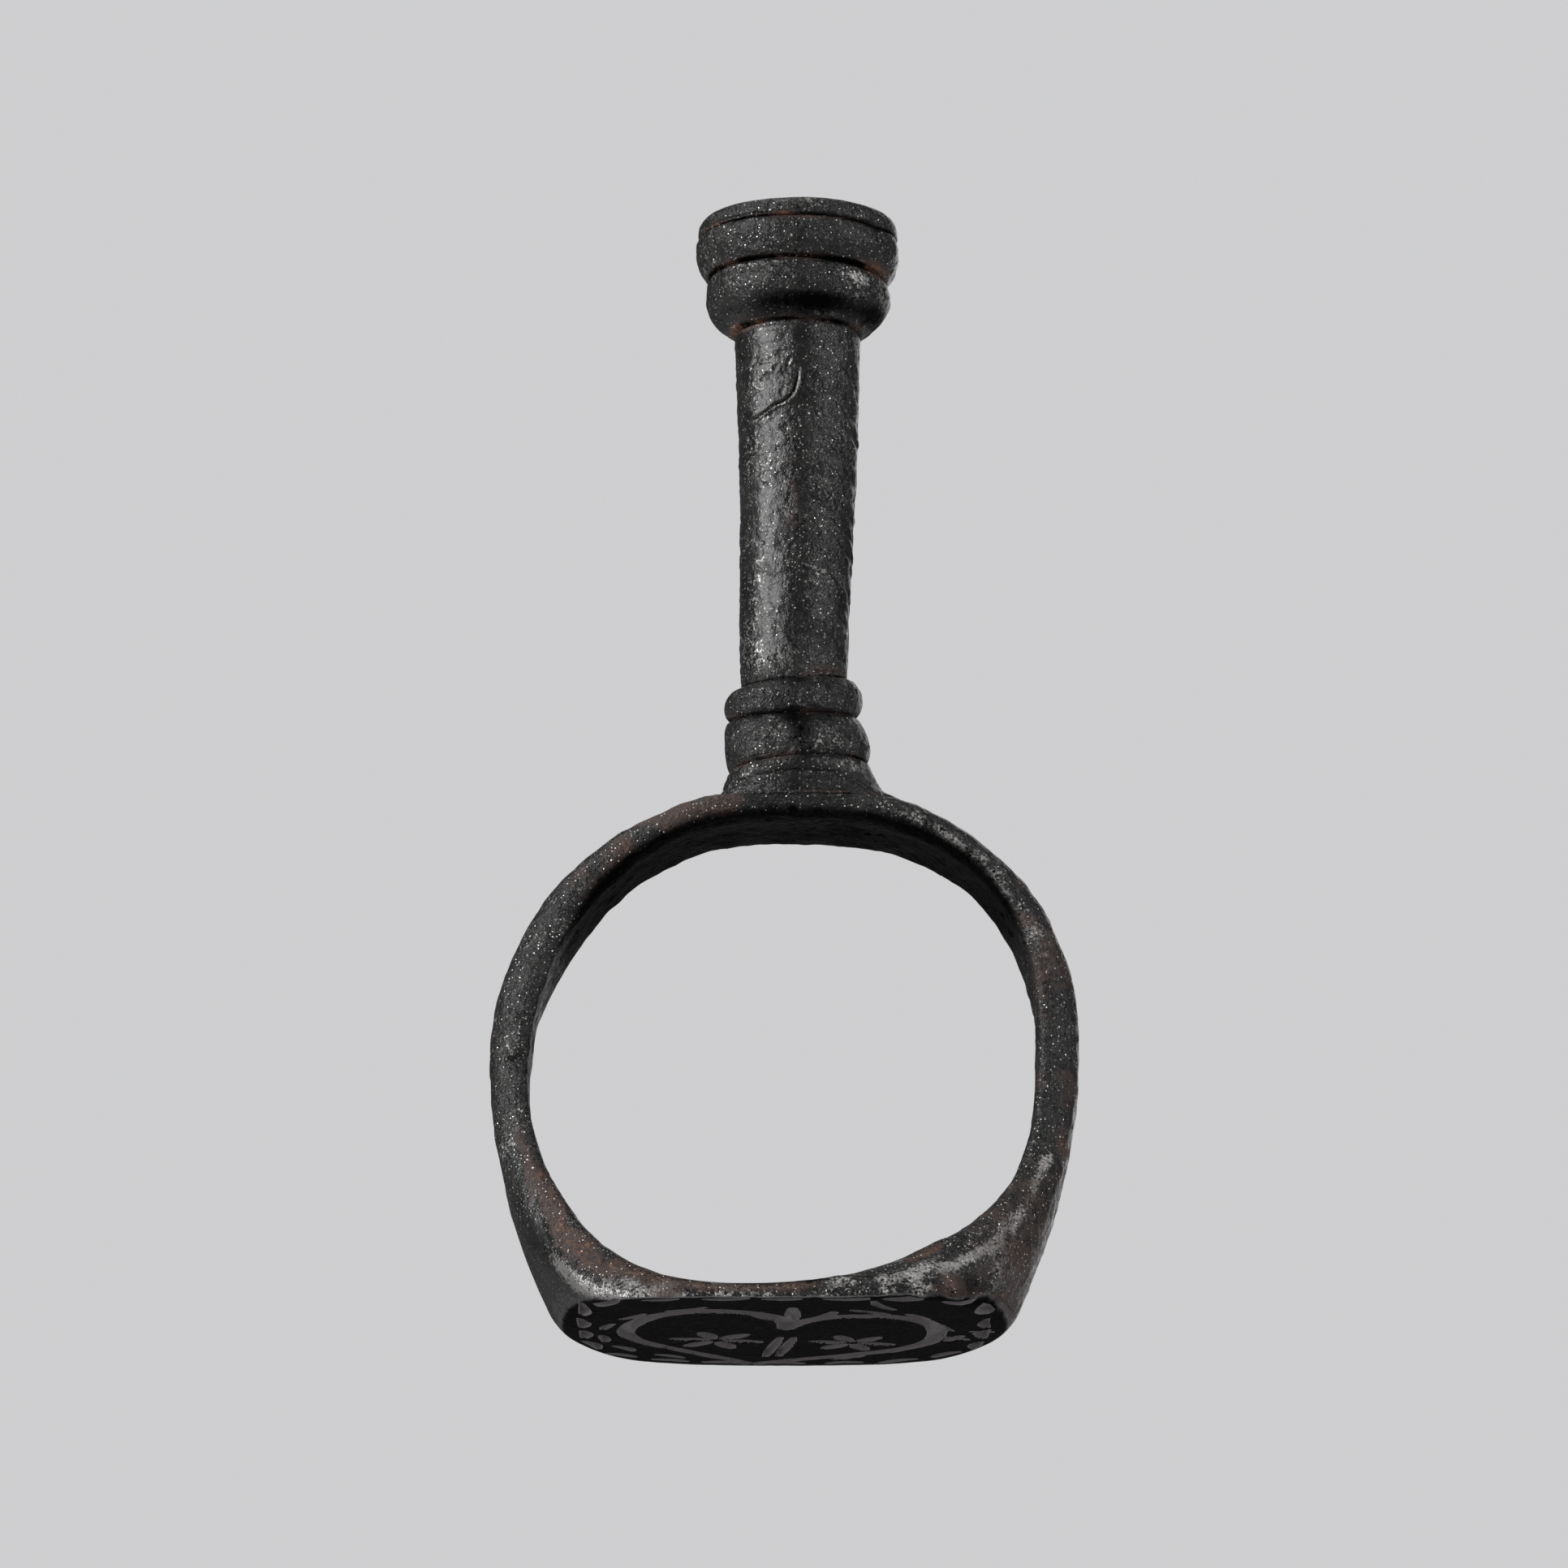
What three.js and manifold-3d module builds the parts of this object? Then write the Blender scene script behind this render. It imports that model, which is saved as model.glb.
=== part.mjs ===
// Ring-handled seal matrix. An engraved seal plate is brazed under a forged finger hoop, and a stem with
// collars, a tapered shaft and a double-rolled knob is riveted through the crown of the hoop.
// Millimetres, +Z up. The origin lies on the plane of the seal face, under the middle of the hoop.
// X runs across the hoop and Y through it, the way a finger goes in; -Y is the near side.

import * as THREE from "three";
import { mergeVertices } from "three/addons/utils/BufferGeometryUtils.js";
import Module from "manifold-3d";

const wasm = await Module();
wasm.setup();

// Seal plate
const faceLength = 18.2;
const faceWidth = 16.3;
const faceNearSquareness = 4.5; // superellipse exponent of the near half of the face's outline
const faceFarSquareness = 2.7; // the far half is rounder
const plateThickness = 0.7;
const plateBrazeThickness = 0.08;

// Flats that are filed across the near corners of the plate and shoulders
const cornerFlatTurn = THREE.MathUtils.degToRad(17); // from facing the end of the seal to its near side
const cornerFlatTilt = THREE.MathUtils.degToRad(32); // by which a flat faces down
const cornerFlatStart = 7.1; // where it leaves the near edge of the face, from the middle

// Engraving of the seal face
const engravingDepth = 0.3;
const heartLength = 12.6; // across the two lobes
const heartHeight = 11.6; // from the lobes to the point
const heartTurn = THREE.MathUtils.degToRad(10);
const heartShift = new THREE.Vector2(-0.35, 1.75); // middle of the heart, from the middle of the face
const heartLineWidth = 0.7;
const heartHalf = [
  [0, -0.22],
  [0.04, -0.44],
  [0.28, -0.5],
  [0.52, -0.5],
  [0.82, -0.5],
  [1, -0.34],
  [1, -0.1],
  [1, 0.18],
  [0.3, 0.32],
  [0, 0.5],
]; // the notch, then two handles and an end of each curve to the point, in shares of half length and height
const leafLength = 1.5; // border leaves, and the sprig in the notch of the heart
const leafWidth = 0.42;
const leafBelly = 0.3; // share of a leaf's length at which it is widest
const borderLeaves = 22;
const borderInset = 0.95; // from the edge of the face to the middle of the border
const sprigLeaves = 3;
const sprigSpread = THREE.MathUtils.degToRad(34); // angle between two leaves of the sprig
const sprigRoot = new THREE.Vector2(0.35, -1.9); // where the sprig's leaves spread from
const sprigGap = 0.5; // from there to the root of each leaf
const sprigLength = 2.6;

// Finger hole and hoop
const holeWidth = 20.9;
const holeHeight = 19.6;
const holeWidestAt = 10.1; // height of the hole's widest place above the hole's bottom
const holeTopSquareness = 2.35;
const holeBottomSquareness = 2.4;
const holeTopShift = 0.35; // of the hole's highest place towards +X
const holeBottomShift = -1.5; // of its lowest place
const holeShiftPower = 6; // the shifts fade out towards the hole's widest place by this power
const bedThickness = 0.62; // hoop metal between the hole's bottom and the seal plate
const bedFall = 0.95; // how far the hole's bottom falls from the middle to the near and far edges
const strapThickness = 1.57; // at the hoop's two sides
const crownThickness = 1.5;
const crownSquareness = 2.1; // of the outline of the crown, seen along the hole
const crownLean = 0.55; // how far the crown has been pushed over towards +X
const crownWidth = 5.2; // of the hoop, along Y
const strapSquareness = 3.5; // of the hoop's outer side, seen from above
const shoulderHeight = 12; // where the hoop starts to widen towards the plate
const shoulderSweep = 2.1; // power by which the hoop's sides draw in towards the plate
const shoulderFlare = 2; // power by which the shoulders widen towards the plate
const seatDepth = 0.65; // of the flat that is filed on the crown for the foot

// Stem: the shaft with its two tenons
const stemOffset = 0.57; // the stem stands this far from the middle of the hoop
const shaftLength = 15.0;
const shaftBottomRadius = 2.22;
const shaftTopRadius = 2.62;
const shaftWaist = 0.06; // how far the shaft's side is hollowed at half its length
const lowerTenonRadius = 1.15;
const upperTenonRadius = 1.3;
const tenonClearance = 0.05; // between a tenon and the bores that it passes through
const peenDepth = 0.4; // of a tenon's riveted end, and of the countersink that it fills
const peenSpread = 0.55; // how much wider than its tenon a riveted end is

// Foot and its braze
const footBrazeThickness = 0.08;
const footHeight = 1.47;
const footBaseLength = 7.6;
const footBaseWidth = 4.9;
const footTopRadius = 2.8;
const footFlare = 1.6; // power by which the foot spreads towards its base
const footLean = 0.4; // how far the base lies to +X of the stem
const footSquareness = 2.4;

// Mouldings: each a bead with its radius at the bottom, the widest place and the top, and its height
const lowerCollar = { bottom: 2.8, widest: 3.04, top: 2.75, rise: 1.05, height: 2.1 };
const upperCollar = { bottom: 2.75, widest: 2.88, top: 2.42, rise: 0.8, height: 1.5 };
const lowerRoll = { bottom: 2.74, widest: 3.83, top: 3.7, rise: 1.55, height: 2.3 };
const upperRoll = { bottom: 3.7, widest: 4.21, top: 4.02, rise: 1.15, height: 1.75 };
const endDisc = { bottom: 4.05, widest: 4.14, top: 3.5, rise: 0.25, height: 0.85 };

// Facets
const aroundStem = 36;
const aroundHoop = 48;
const hoopRings = 24;
const aroundHole = 56;
const holeStations = 8;
const aroundFoot = 36;
const footRings = 6;
const beadSteps = 4; // in each half of a bead
const shaftSteps = 6;
const heartSteps = 14; // in each of the heart's four curves
const cutMargin = 1; // how far a cutting solid reaches past what it cuts

// Heights, from the seal face up
const bedHeight = plateThickness + plateBrazeThickness;
const holeBottom = bedHeight + bedThickness;
const widestHeight = holeBottom + holeWidestAt;
const holeTop = holeBottom + holeHeight;
const crownTop = holeTop + crownThickness;
const seatHeight = crownTop - seatDepth;
const footBottom = seatHeight + footBrazeThickness;
const footTop = footBottom + footHeight;
const lowerCollarTop = footTop + lowerCollar.height;
const shaftBottom = lowerCollarTop + upperCollar.height;
const shaftTop = shaftBottom + shaftLength;
const lowerRollTop = shaftTop + lowerRoll.height;
const upperRollTop = lowerRollTop + upperRoll.height;
const stemTop = upperRollTop + endDisc.height;

const hoopHalfLength = holeWidth / 2 + strapThickness;

// A closed geometry as a solid that can be joined and cut.
function toSolid(geometry) {
  const bare = geometry.clone();
  bare.deleteAttribute("normal");
  bare.deleteAttribute("uv");
  const merged = mergeVertices(bare, 1e-4);
  return new wasm.Manifold(
    new wasm.Mesh({
      numProp: 3,
      vertProperties: new Float32Array(merged.attributes.position.array),
      triVerts: new Uint32Array(merged.index.array),
    }),
  );
}

function toGeometry(solid) {
  const mesh = solid.getMesh();
  const geometry = new THREE.BufferGeometry();
  geometry.setAttribute("position", new THREE.BufferAttribute(mesh.vertProperties, 3));
  geometry.setIndex(new THREE.BufferAttribute(mesh.triVerts, 1));
  geometry.computeVertexNormals();
  return geometry;
}

// Skins closed rings of equally many points, and closes both ends with a fan round the end ring's middle.
function skinRings(rings) {
  const count = rings[0].length;
  const middle = (ring) =>
    ring.reduce((sum, p) => sum.add(p), new THREE.Vector3()).divideScalar(count);
  const points = [...rings.flat(), middle(rings[0]), middle(rings[rings.length - 1])];
  const faces = [];
  for (let j = 0; j < count; j++) {
    const k = (j + 1) % count;
    for (let i = 0; i + 1 < rings.length; i++) {
      const low = i * count;
      const high = low + count;
      faces.push(low + j, low + k, high + k, low + j, high + k, high + j);
    }
    const last = (rings.length - 1) * count;
    faces.push(points.length - 2, k, j);
    faces.push(points.length - 1, last + j, last + k);
  }
  const geometry = new THREE.BufferGeometry().setFromPoints(points);
  geometry.setIndex(faces);
  return geometry;
}

// The point of a superellipse at an angle of turn. Equal steps of turn lie close together at its corners.
function superellipsePoint(turn, halfX, halfY, squareness) {
  const x = Math.cos(turn);
  const y = Math.sin(turn);
  const power = 2 / squareness;
  return new THREE.Vector2(
    halfX * Math.sign(x) * Math.pow(Math.abs(x), power),
    halfY * Math.sign(y) * Math.pow(Math.abs(y), power),
  );
}

function angles(count) {
  return Array.from({ length: count }, (_, i) => (2 * Math.PI * i) / count);
}

// A box over the whole object between two heights.
function slab(low, high) {
  const span = 4 * hoopHalfLength;
  const box = new THREE.BoxGeometry(span, span, high - low);
  return toSolid(box.translate(0, 0, (low + high) / 2));
}

// Hoop and plate, seen from above at one height: a superellipse that is long at the hoop's widest height,
// draws in to the length of the face and widens to its width below the shoulders. The crown leans to +X.
function bodyOutline(height) {
  let halfLength;
  let lean = 0;
  if (height > widestHeight) {
    const climb = (height - widestHeight) / (crownTop - widestHeight);
    const left = 1 - Math.pow(climb, crownSquareness);
    halfLength = hoopHalfLength * Math.pow(left, 1 / crownSquareness);
    lean = crownLean * climb;
  } else {
    const drop = Math.pow((widestHeight - height) / widestHeight, shoulderSweep);
    halfLength = hoopHalfLength + (faceLength / 2 - hoopHalfLength) * drop;
  }
  const below = Math.max(0, (shoulderHeight - height) / shoulderHeight);
  const halfWidth = THREE.MathUtils.lerp(crownWidth, faceWidth, Math.pow(below, shoulderFlare)) / 2;
  return angles(aroundHoop).map((angle) => {
    const faceSquareness = Math.sin(angle) < 0 ? faceNearSquareness : faceFarSquareness;
    const squareness = THREE.MathUtils.lerp(strapSquareness, faceSquareness, below);
    const p = superellipsePoint(angle, halfLength, halfWidth, squareness);
    return new THREE.Vector3(lean + p.x, p.y, height);
  });
}

// Hoop and plate as one block with no finger hole, up to the flat on the crown.
function bodyBlock() {
  const heights = [0, plateThickness, bedHeight];
  const rest = hoopRings - heights.length;
  const top = Math.asin((seatHeight - widestHeight) / (crownTop - widestHeight));
  const bottom = Math.asin((bedHeight - widestHeight) / widestHeight);
  for (let i = 1; i <= rest; i++) {
    const sine = Math.sin(THREE.MathUtils.lerp(bottom, top, i / rest));
    heights.push(widestHeight + sine * (sine > 0 ? crownTop - widestHeight : widestHeight));
  }
  const block = toSolid(skinRings(heights.map(bodyOutline)));
  return cutCorner(cutCorner(block, 1), -1);
}

// Files the flat on the near corner at one end of the seal.
function cutCorner(block, end) {
  const outward = new THREE.Vector3(
    end * Math.cos(cornerFlatTilt) * Math.cos(cornerFlatTurn),
    -Math.cos(cornerFlatTilt) * Math.sin(cornerFlatTurn),
    -Math.sin(cornerFlatTilt),
  );
  const start = new THREE.Vector3(end * cornerFlatStart, -faceWidth / 2, 0);
  return block.trimByPlane(outward.clone().negate().toArray(), -outward.dot(start));
}

// The finger hole: a rounded opening through Y, whose bottom falls towards the near and far edges. Its top
// leans with the crown, and its bottom lies a little to -X.
function fingerHole() {
  const reach = faceWidth / 2 + cutMargin;
  const rings = [];
  for (let i = 0; i <= holeStations; i++) {
    const y = THREE.MathUtils.lerp(reach, -reach, i / holeStations);
    const fall = bedFall * Math.pow(y / (faceWidth / 2), 2);
    rings.push(
      angles(aroundHole).map((angle) => {
        const upper = Math.sin(angle) > 0;
        const halfHeight = upper ? holeTop - widestHeight : widestHeight - holeBottom + fall;
        const squareness = upper ? holeTopSquareness : holeBottomSquareness;
        const p = superellipsePoint(angle, holeWidth / 2, halfHeight, squareness);
        const shift = upper ? holeTopShift : holeBottomShift;
        const lean = shift * Math.pow(Math.abs(p.y) / halfHeight, holeShiftPower);
        return new THREE.Vector3(lean + p.x, y, widestHeight + p.y);
      }),
    );
  }
  return toSolid(skinRings(rings));
}

// A lathe-turned form round the stem's axis, from a profile of [radius, height] pairs.
function turned(profile) {
  const points = profile.map(([radius, height]) => new THREE.Vector2(radius, height));
  const geometry = new THREE.LatheGeometry(points, aroundStem);
  return geometry.rotateX(Math.PI / 2).translate(stemOffset, 0, 0);
}

// The outer side of a bead: a quarter ellipse out to its widest place and another one in again.
function beadSide(bead, bottom) {
  const widestAt = bottom + bead.rise;
  const side = [];
  for (let i = 0; i <= 2 * beadSteps; i++) {
    const turn = (Math.PI / 2) * (i / beadSteps - 1);
    const end = turn < 0 ? bead.bottom : bead.top;
    const reach = turn < 0 ? bead.rise : bead.height - bead.rise;
    side.push([end + (bead.widest - end) * Math.cos(turn), widestAt + reach * Math.sin(turn)]);
  }
  return side;
}

// A bead bored for its tenon.
function boredBead(bead, bottom, tenonRadius) {
  const bore = tenonRadius + tenonClearance;
  const side = beadSide(bead, bottom);
  return turned([...side, [bore, bottom + bead.height], [bore, bottom], side[0]]);
}

// The end disc: a bead with a countersink in its top for the riveted end of the upper tenon.
function endDiscGeometry() {
  const bore = upperTenonRadius + tenonClearance;
  const side = beadSide(endDisc, upperRollTop);
  return turned([
    ...side,
    [bore + peenSpread, stemTop],
    [bore, stemTop - peenDepth],
    [bore, upperRollTop],
    side[0],
  ]);
}

// The shaft in one piece with its tenons. Both tenon ends are riveted over into countersinks.
function stemGeometry() {
  const profile = [
    [0, holeTop],
    [lowerTenonRadius + peenSpread, holeTop],
    [lowerTenonRadius, holeTop + peenDepth],
    [lowerTenonRadius, shaftBottom],
  ];
  for (let i = 0; i <= shaftSteps; i++) {
    const share = i / shaftSteps;
    const straight = THREE.MathUtils.lerp(shaftBottomRadius, shaftTopRadius, share);
    const hollow = shaftWaist * Math.sin(Math.PI * share);
    profile.push([straight - hollow, shaftBottom + shaftLength * share]);
  }
  profile.push(
    [upperTenonRadius, shaftTop],
    [upperTenonRadius, stemTop - peenDepth],
    [upperTenonRadius + peenSpread, stemTop],
    [0, stemTop],
  );
  return turned(profile);
}

// The room that the lower tenon and its riveted end take in what they pass through.
function lowerTenonBore() {
  const bore = lowerTenonRadius + tenonClearance;
  return toSolid(
    turned([
      [0, holeTop - cutMargin],
      [bore + peenSpread, holeTop - cutMargin],
      [bore + peenSpread, holeTop],
      [bore, holeTop + peenDepth],
      [bore, footTop + cutMargin],
      [0, footTop + cutMargin],
    ]),
  );
}

// One level of the foot: round at the top, oblong and spread at the base.
function footOutline(height) {
  const down = (footTop - height) / footHeight;
  const spread = Math.pow(down, footFlare);
  const halfLength = THREE.MathUtils.lerp(footTopRadius, footBaseLength / 2, spread);
  const halfWidth = THREE.MathUtils.lerp(footTopRadius, footBaseWidth / 2, down);
  const squareness = THREE.MathUtils.lerp(2, footSquareness, down);
  return angles(aroundFoot).map((angle) => {
    const p = superellipsePoint(angle, halfLength, halfWidth, squareness);
    return new THREE.Vector3(stemOffset + footLean * spread + p.x, p.y, height);
  });
}

function footSolid() {
  const rings = [];
  for (let i = 0; i < footRings; i++) {
    rings.push(footOutline(footBottom + (footHeight * i) / (footRings - 1)));
  }
  return toSolid(skinRings(rings)).subtract(lowerTenonBore());
}

// The film of braze under the foot has the outline of the foot's base.
function footBrazeSolid() {
  const base = footOutline(footBottom);
  const seat = base.map((p) => new THREE.Vector3(p.x, p.y, seatHeight));
  return toSolid(skinRings([seat, base])).subtract(lowerTenonBore());
}

// A heart with its point towards +Y, centred in its own box and scaled to a length and height.
function heartOutline(length, height) {
  const right = heartHalf.map(([x, y]) => new THREE.Vector2((x * length) / 2, y * height));
  const left = right.map((p) => new THREE.Vector2(-p.x, p.y)).reverse();
  const stations = [...right, ...left.slice(1)];
  const heart = new THREE.Path();
  heart.moveTo(stations[0].x, stations[0].y);
  for (let i = 1; i < stations.length; i += 3) {
    const [a, b, end] = stations.slice(i, i + 3);
    heart.bezierCurveTo(a.x, a.y, b.x, b.y, end.x, end.y);
  }
  return heart.getPoints(heartSteps).slice(0, -1);
}

// A cutter that sinks a flat shape into the seal face.
function faceCutter(shape) {
  const depth = engravingDepth + cutMargin;
  const cutter = new THREE.ExtrudeGeometry(shape, { depth, bevelEnabled: false });
  return cutter.translate(0, 0, -cutMargin);
}

function heartCutter() {
  const outer = heartOutline(heartLength + heartLineWidth, heartHeight + heartLineWidth);
  const inner = heartOutline(heartLength - heartLineWidth, heartHeight - heartLineWidth);
  const shape = new THREE.Shape(outer);
  shape.holes.push(new THREE.Path(inner));
  return toSolid(faceCutter(shape).rotateZ(heartTurn).translate(heartShift.x, heartShift.y, 0));
}

// A pointed leaf along +X, from its root at the origin.
function leafCutter(length) {
  const leaf = new THREE.Shape();
  leaf.moveTo(0, 0);
  leaf.lineTo(length * leafBelly, leafWidth / 2);
  leaf.lineTo(length, 0);
  leaf.lineTo(length * leafBelly, -leafWidth / 2);
  return faceCutter(leaf);
}

// Border leaves follow each other round the face, and three more stand in the notch of the heart.
function leafCutters() {
  const border = new THREE.Path(
    angles(aroundHoop).map((angle) => {
      const squareness = Math.sin(angle) < 0 ? faceNearSquareness : faceFarSquareness;
      const halfLength = faceLength / 2 - borderInset;
      return superellipsePoint(angle, halfLength, faceWidth / 2 - borderInset, squareness);
    }),
  ).closePath();
  const cutters = [];
  for (let i = 0; i < borderLeaves; i++) {
    const root = border.getPointAt(i / borderLeaves);
    const way = border.getTangentAt(i / borderLeaves).angle();
    const leaf = leafCutter(leafLength).rotateZ(way);
    cutters.push(toSolid(leaf.translate(root.x, root.y, 0)));
  }
  for (let i = 0; i < sprigLeaves; i++) {
    const way = -Math.PI / 2 + (i - (sprigLeaves - 1) / 2) * sprigSpread;
    const leaf = leafCutter(sprigLength).translate(sprigGap, 0, 0).rotateZ(way);
    cutters.push(toSolid(leaf.translate(sprigRoot.x, sprigRoot.y, 0)));
  }
  return cutters;
}

function sealPlateSolid(block, hole) {
  const blank = block.intersect(slab(0, plateThickness)).subtract(hole);
  return [heartCutter(), ...leafCutters()].reduce((plate, cutter) => plate.subtract(cutter), blank);
}

function plateBrazeSolid(block, hole) {
  return block.intersect(slab(plateThickness, bedHeight)).subtract(hole);
}

function hoopSolid(block, hole) {
  return block.intersect(slab(bedHeight, crownTop)).subtract(hole).subtract(lowerTenonBore());
}

const forgedIron = new THREE.MeshStandardMaterial({ color: 0x2e2d2d, metalness: 0.85, roughness: 0.5 });
const faceIron = new THREE.MeshStandardMaterial({ color: 0x232222, metalness: 0.8, roughness: 0.6 });
const stemIron = new THREE.MeshStandardMaterial({ color: 0x323232, metalness: 0.85, roughness: 0.45 });
const braze = new THREE.MeshStandardMaterial({ color: 0x6b5334, metalness: 0.85, roughness: 0.55 });

function named(name, geometry, material) {
  const mesh = new THREE.Mesh(geometry, material);
  mesh.name = name;
  return mesh;
}

const block = bodyBlock();
const hole = fingerHole();

const ring = new THREE.Group();
ring.add(
  named("seal_plate", toGeometry(sealPlateSolid(block, hole)), faceIron),
  named("plate_braze", toGeometry(plateBrazeSolid(block, hole)), braze),
  named("finger_hoop", toGeometry(hoopSolid(block, hole)), forgedIron),
);

const stem = new THREE.Group();
stem.add(
  named("foot_braze", toGeometry(footBrazeSolid()), braze),
  named("foot_saddle", toGeometry(footSolid()), forgedIron),
  named("lower_collar", boredBead(lowerCollar, footTop, lowerTenonRadius), stemIron),
  named("upper_collar", boredBead(upperCollar, lowerCollarTop, lowerTenonRadius), stemIron),
  named("stem_shaft", stemGeometry(), stemIron),
  named("lower_knob_roll", boredBead(lowerRoll, shaftTop, upperTenonRadius), stemIron),
  named("upper_knob_roll", boredBead(upperRoll, lowerRollTop, upperTenonRadius), stemIron),
  named("end_disc", endDiscGeometry(), stemIron),
);

const sealMatrix = new THREE.Group();
sealMatrix.add(ring, stem);

export default sealMatrix;
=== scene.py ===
"""A small forged iron seal: an engraved plate under a finger hoop, and a filed stem with collars and a knob.

Shapes are worked out in millimetres on numpy grids and put into meshes in metres, in the frame of the CAD
model. Every piece stands for one CAD node, and takes its main sizes from that node's box. In the functions
for relief and colour, numbers are places and reaches in millimetres, sizes and seeds of noise, and shares.
"""

import math

import bpy
import numpy as np
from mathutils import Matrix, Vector


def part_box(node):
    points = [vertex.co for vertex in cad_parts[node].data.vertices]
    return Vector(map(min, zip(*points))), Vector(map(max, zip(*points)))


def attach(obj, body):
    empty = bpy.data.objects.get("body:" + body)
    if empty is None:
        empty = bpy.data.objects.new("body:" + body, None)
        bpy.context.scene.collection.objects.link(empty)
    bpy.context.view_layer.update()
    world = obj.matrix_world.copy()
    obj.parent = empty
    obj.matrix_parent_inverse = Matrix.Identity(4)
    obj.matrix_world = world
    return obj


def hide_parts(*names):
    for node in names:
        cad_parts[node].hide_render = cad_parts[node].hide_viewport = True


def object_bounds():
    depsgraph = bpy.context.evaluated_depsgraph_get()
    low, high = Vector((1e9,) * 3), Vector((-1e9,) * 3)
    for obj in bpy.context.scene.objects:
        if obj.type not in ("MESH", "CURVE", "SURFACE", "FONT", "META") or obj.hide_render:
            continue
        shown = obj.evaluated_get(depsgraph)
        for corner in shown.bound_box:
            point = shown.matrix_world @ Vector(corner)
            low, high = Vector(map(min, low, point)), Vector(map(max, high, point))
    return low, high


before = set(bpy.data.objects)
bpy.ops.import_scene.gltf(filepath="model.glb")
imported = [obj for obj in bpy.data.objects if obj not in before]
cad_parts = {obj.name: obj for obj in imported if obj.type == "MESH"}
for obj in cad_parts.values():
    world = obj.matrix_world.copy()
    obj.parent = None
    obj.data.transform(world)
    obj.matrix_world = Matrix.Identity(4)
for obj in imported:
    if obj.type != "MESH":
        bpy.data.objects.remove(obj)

cad_low, cad_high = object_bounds()

MM = 0.001  # metres in a millimetre
BODY = "root"
SHARP_EDGE = math.radians(50)  # edges that bend more than this are shaded sharp


def box_mm(node):
    """Lowest and highest corner of a CAD node, in millimetres."""
    low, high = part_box(node)
    return np.array(low) / MM, np.array(high) / MM


plate_low, plate_high = box_mm("seal_plate")
hoop_low, hoop_high = box_mm("finger_hoop")
foot_low, foot_high = box_mm("foot_saddle")
film_low, film_high = box_mm("foot_braze")
collar_low, collar_high = box_mm("lower_collar")
second_low, second_high = box_mm("upper_collar")
stem_low, stem_high = box_mm("stem_shaft")
roll_low, roll_high = box_mm("lower_knob_roll")
top_roll_low, top_roll_high = box_mm("upper_knob_roll")
disc_low, disc_high = box_mm("end_disc")

AXIS = (disc_low[0] + disc_high[0]) / 2  # X of the stem's axis

# Hoop and plate, as in the CAD model
FACE_LENGTH = 18.2
FACE_WIDTH = plate_high[1] - plate_low[1]
FACE_NEAR_SQUARENESS = 4.5
FACE_FAR_SQUARENESS = 2.7
CORNER_TURN = math.radians(17)  # of the flats filed across the near corners, from the ends towards the camera
CORNER_TILT = math.radians(32)  # and downwards
CORNER_START = 7.25  # X where a flat starts on the near edge
CORNER_ROUNDING = 0.42  # where a corner's flat meets its neighbours
RIM_ON_SIDES = 0.30  # reach of the rounding of the face's near and far edge
RIM_AT_ENDS = 1.10  # and of its two ends
HOLE_WIDTH = 20.9
HOLE_TOP = stem_low[2]  # the riveted tenon ends in it
HOLE_BOTTOM = 1.4
BED_FALL = 0.95  # by which the hole's bottom falls towards the near and the far side
WIDEST = 11.5  # height at which hole and hoop are widest
HOLE_TOP_SQUARENESS = 2.35
HOLE_BOTTOM_SQUARENESS = 2.4
HOLE_TOP_SHIFT = 0.35  # towards +X
HOLE_BOTTOM_SHIFT = -1.5
HOLE_SHIFT_POWER = 6  # the shift grows with this power of the way from the middle
HOOP_LENGTH = 24.04  # in X, at its widest
CROWN_TOP = HOLE_TOP + 1.5
CROWN_SQUARENESS = 2.1
CROWN_LEAN = 0.55  # of its top towards +X
CROWN_WIDTH = 5.2  # in Y
STRAP_SQUARENESS = 3.5  # of its section
SHOULDER_HEIGHT = 12.0  # from which the strap widens downwards
SHOULDER_SWEEP = 2.1  # power by which it draws in to the face's length
SHOULDER_FLARE = 2.0  # power by which it widens to the face's width
PLATE_TOP = plate_high[2]
BED = hoop_low[2]  # underside of the hoop
SEAT = hoop_high[2]  # flat under the foot
STRAP_ROUNDING = 0.42  # of the strap's edges towards the finger
LIP_ROUNDING = 0.22  # of the same edge over the plate
CROWN_ROUNDING = 0.80  # and of the same edge on the crown
CROWN_NARROWING = 0.38  # by which the hole is smaller at the far side of the crown
HOLE_MEAN_RADIUS = 10.0  # turns the hole's own measure into about millimetres
TURN_CENTRE = 11.0  # height of the point that turns round the hole are measured from
STRAP_EXTRA = (  # metal inside the strap: thickness, and in degrees its middle's turn from +X and half its arc
    (0.75, 144, 48),
    (0.15, 90, 35),
    (0.20, -5, 45),
)
PLATE_SKIRT = 0.25  # how far the plate's side laps over the hoop's
SLOPE_STEP = 0.01  # over which the slope of a distance is taken

# Camera, as in the photograph: it looks up at the seal from 14 degrees below its level
CAMERA_ELEVATION = math.radians(-14)
CAMERA_DISTANCE = 0.350
CAMERA_TARGET = Vector((0, 0, 0.02283))
FRAME_WIDTH = 0.0644  # that the frame spans at the target
SENSOR_WIDTH = 36.0


# Random fields over space

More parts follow.
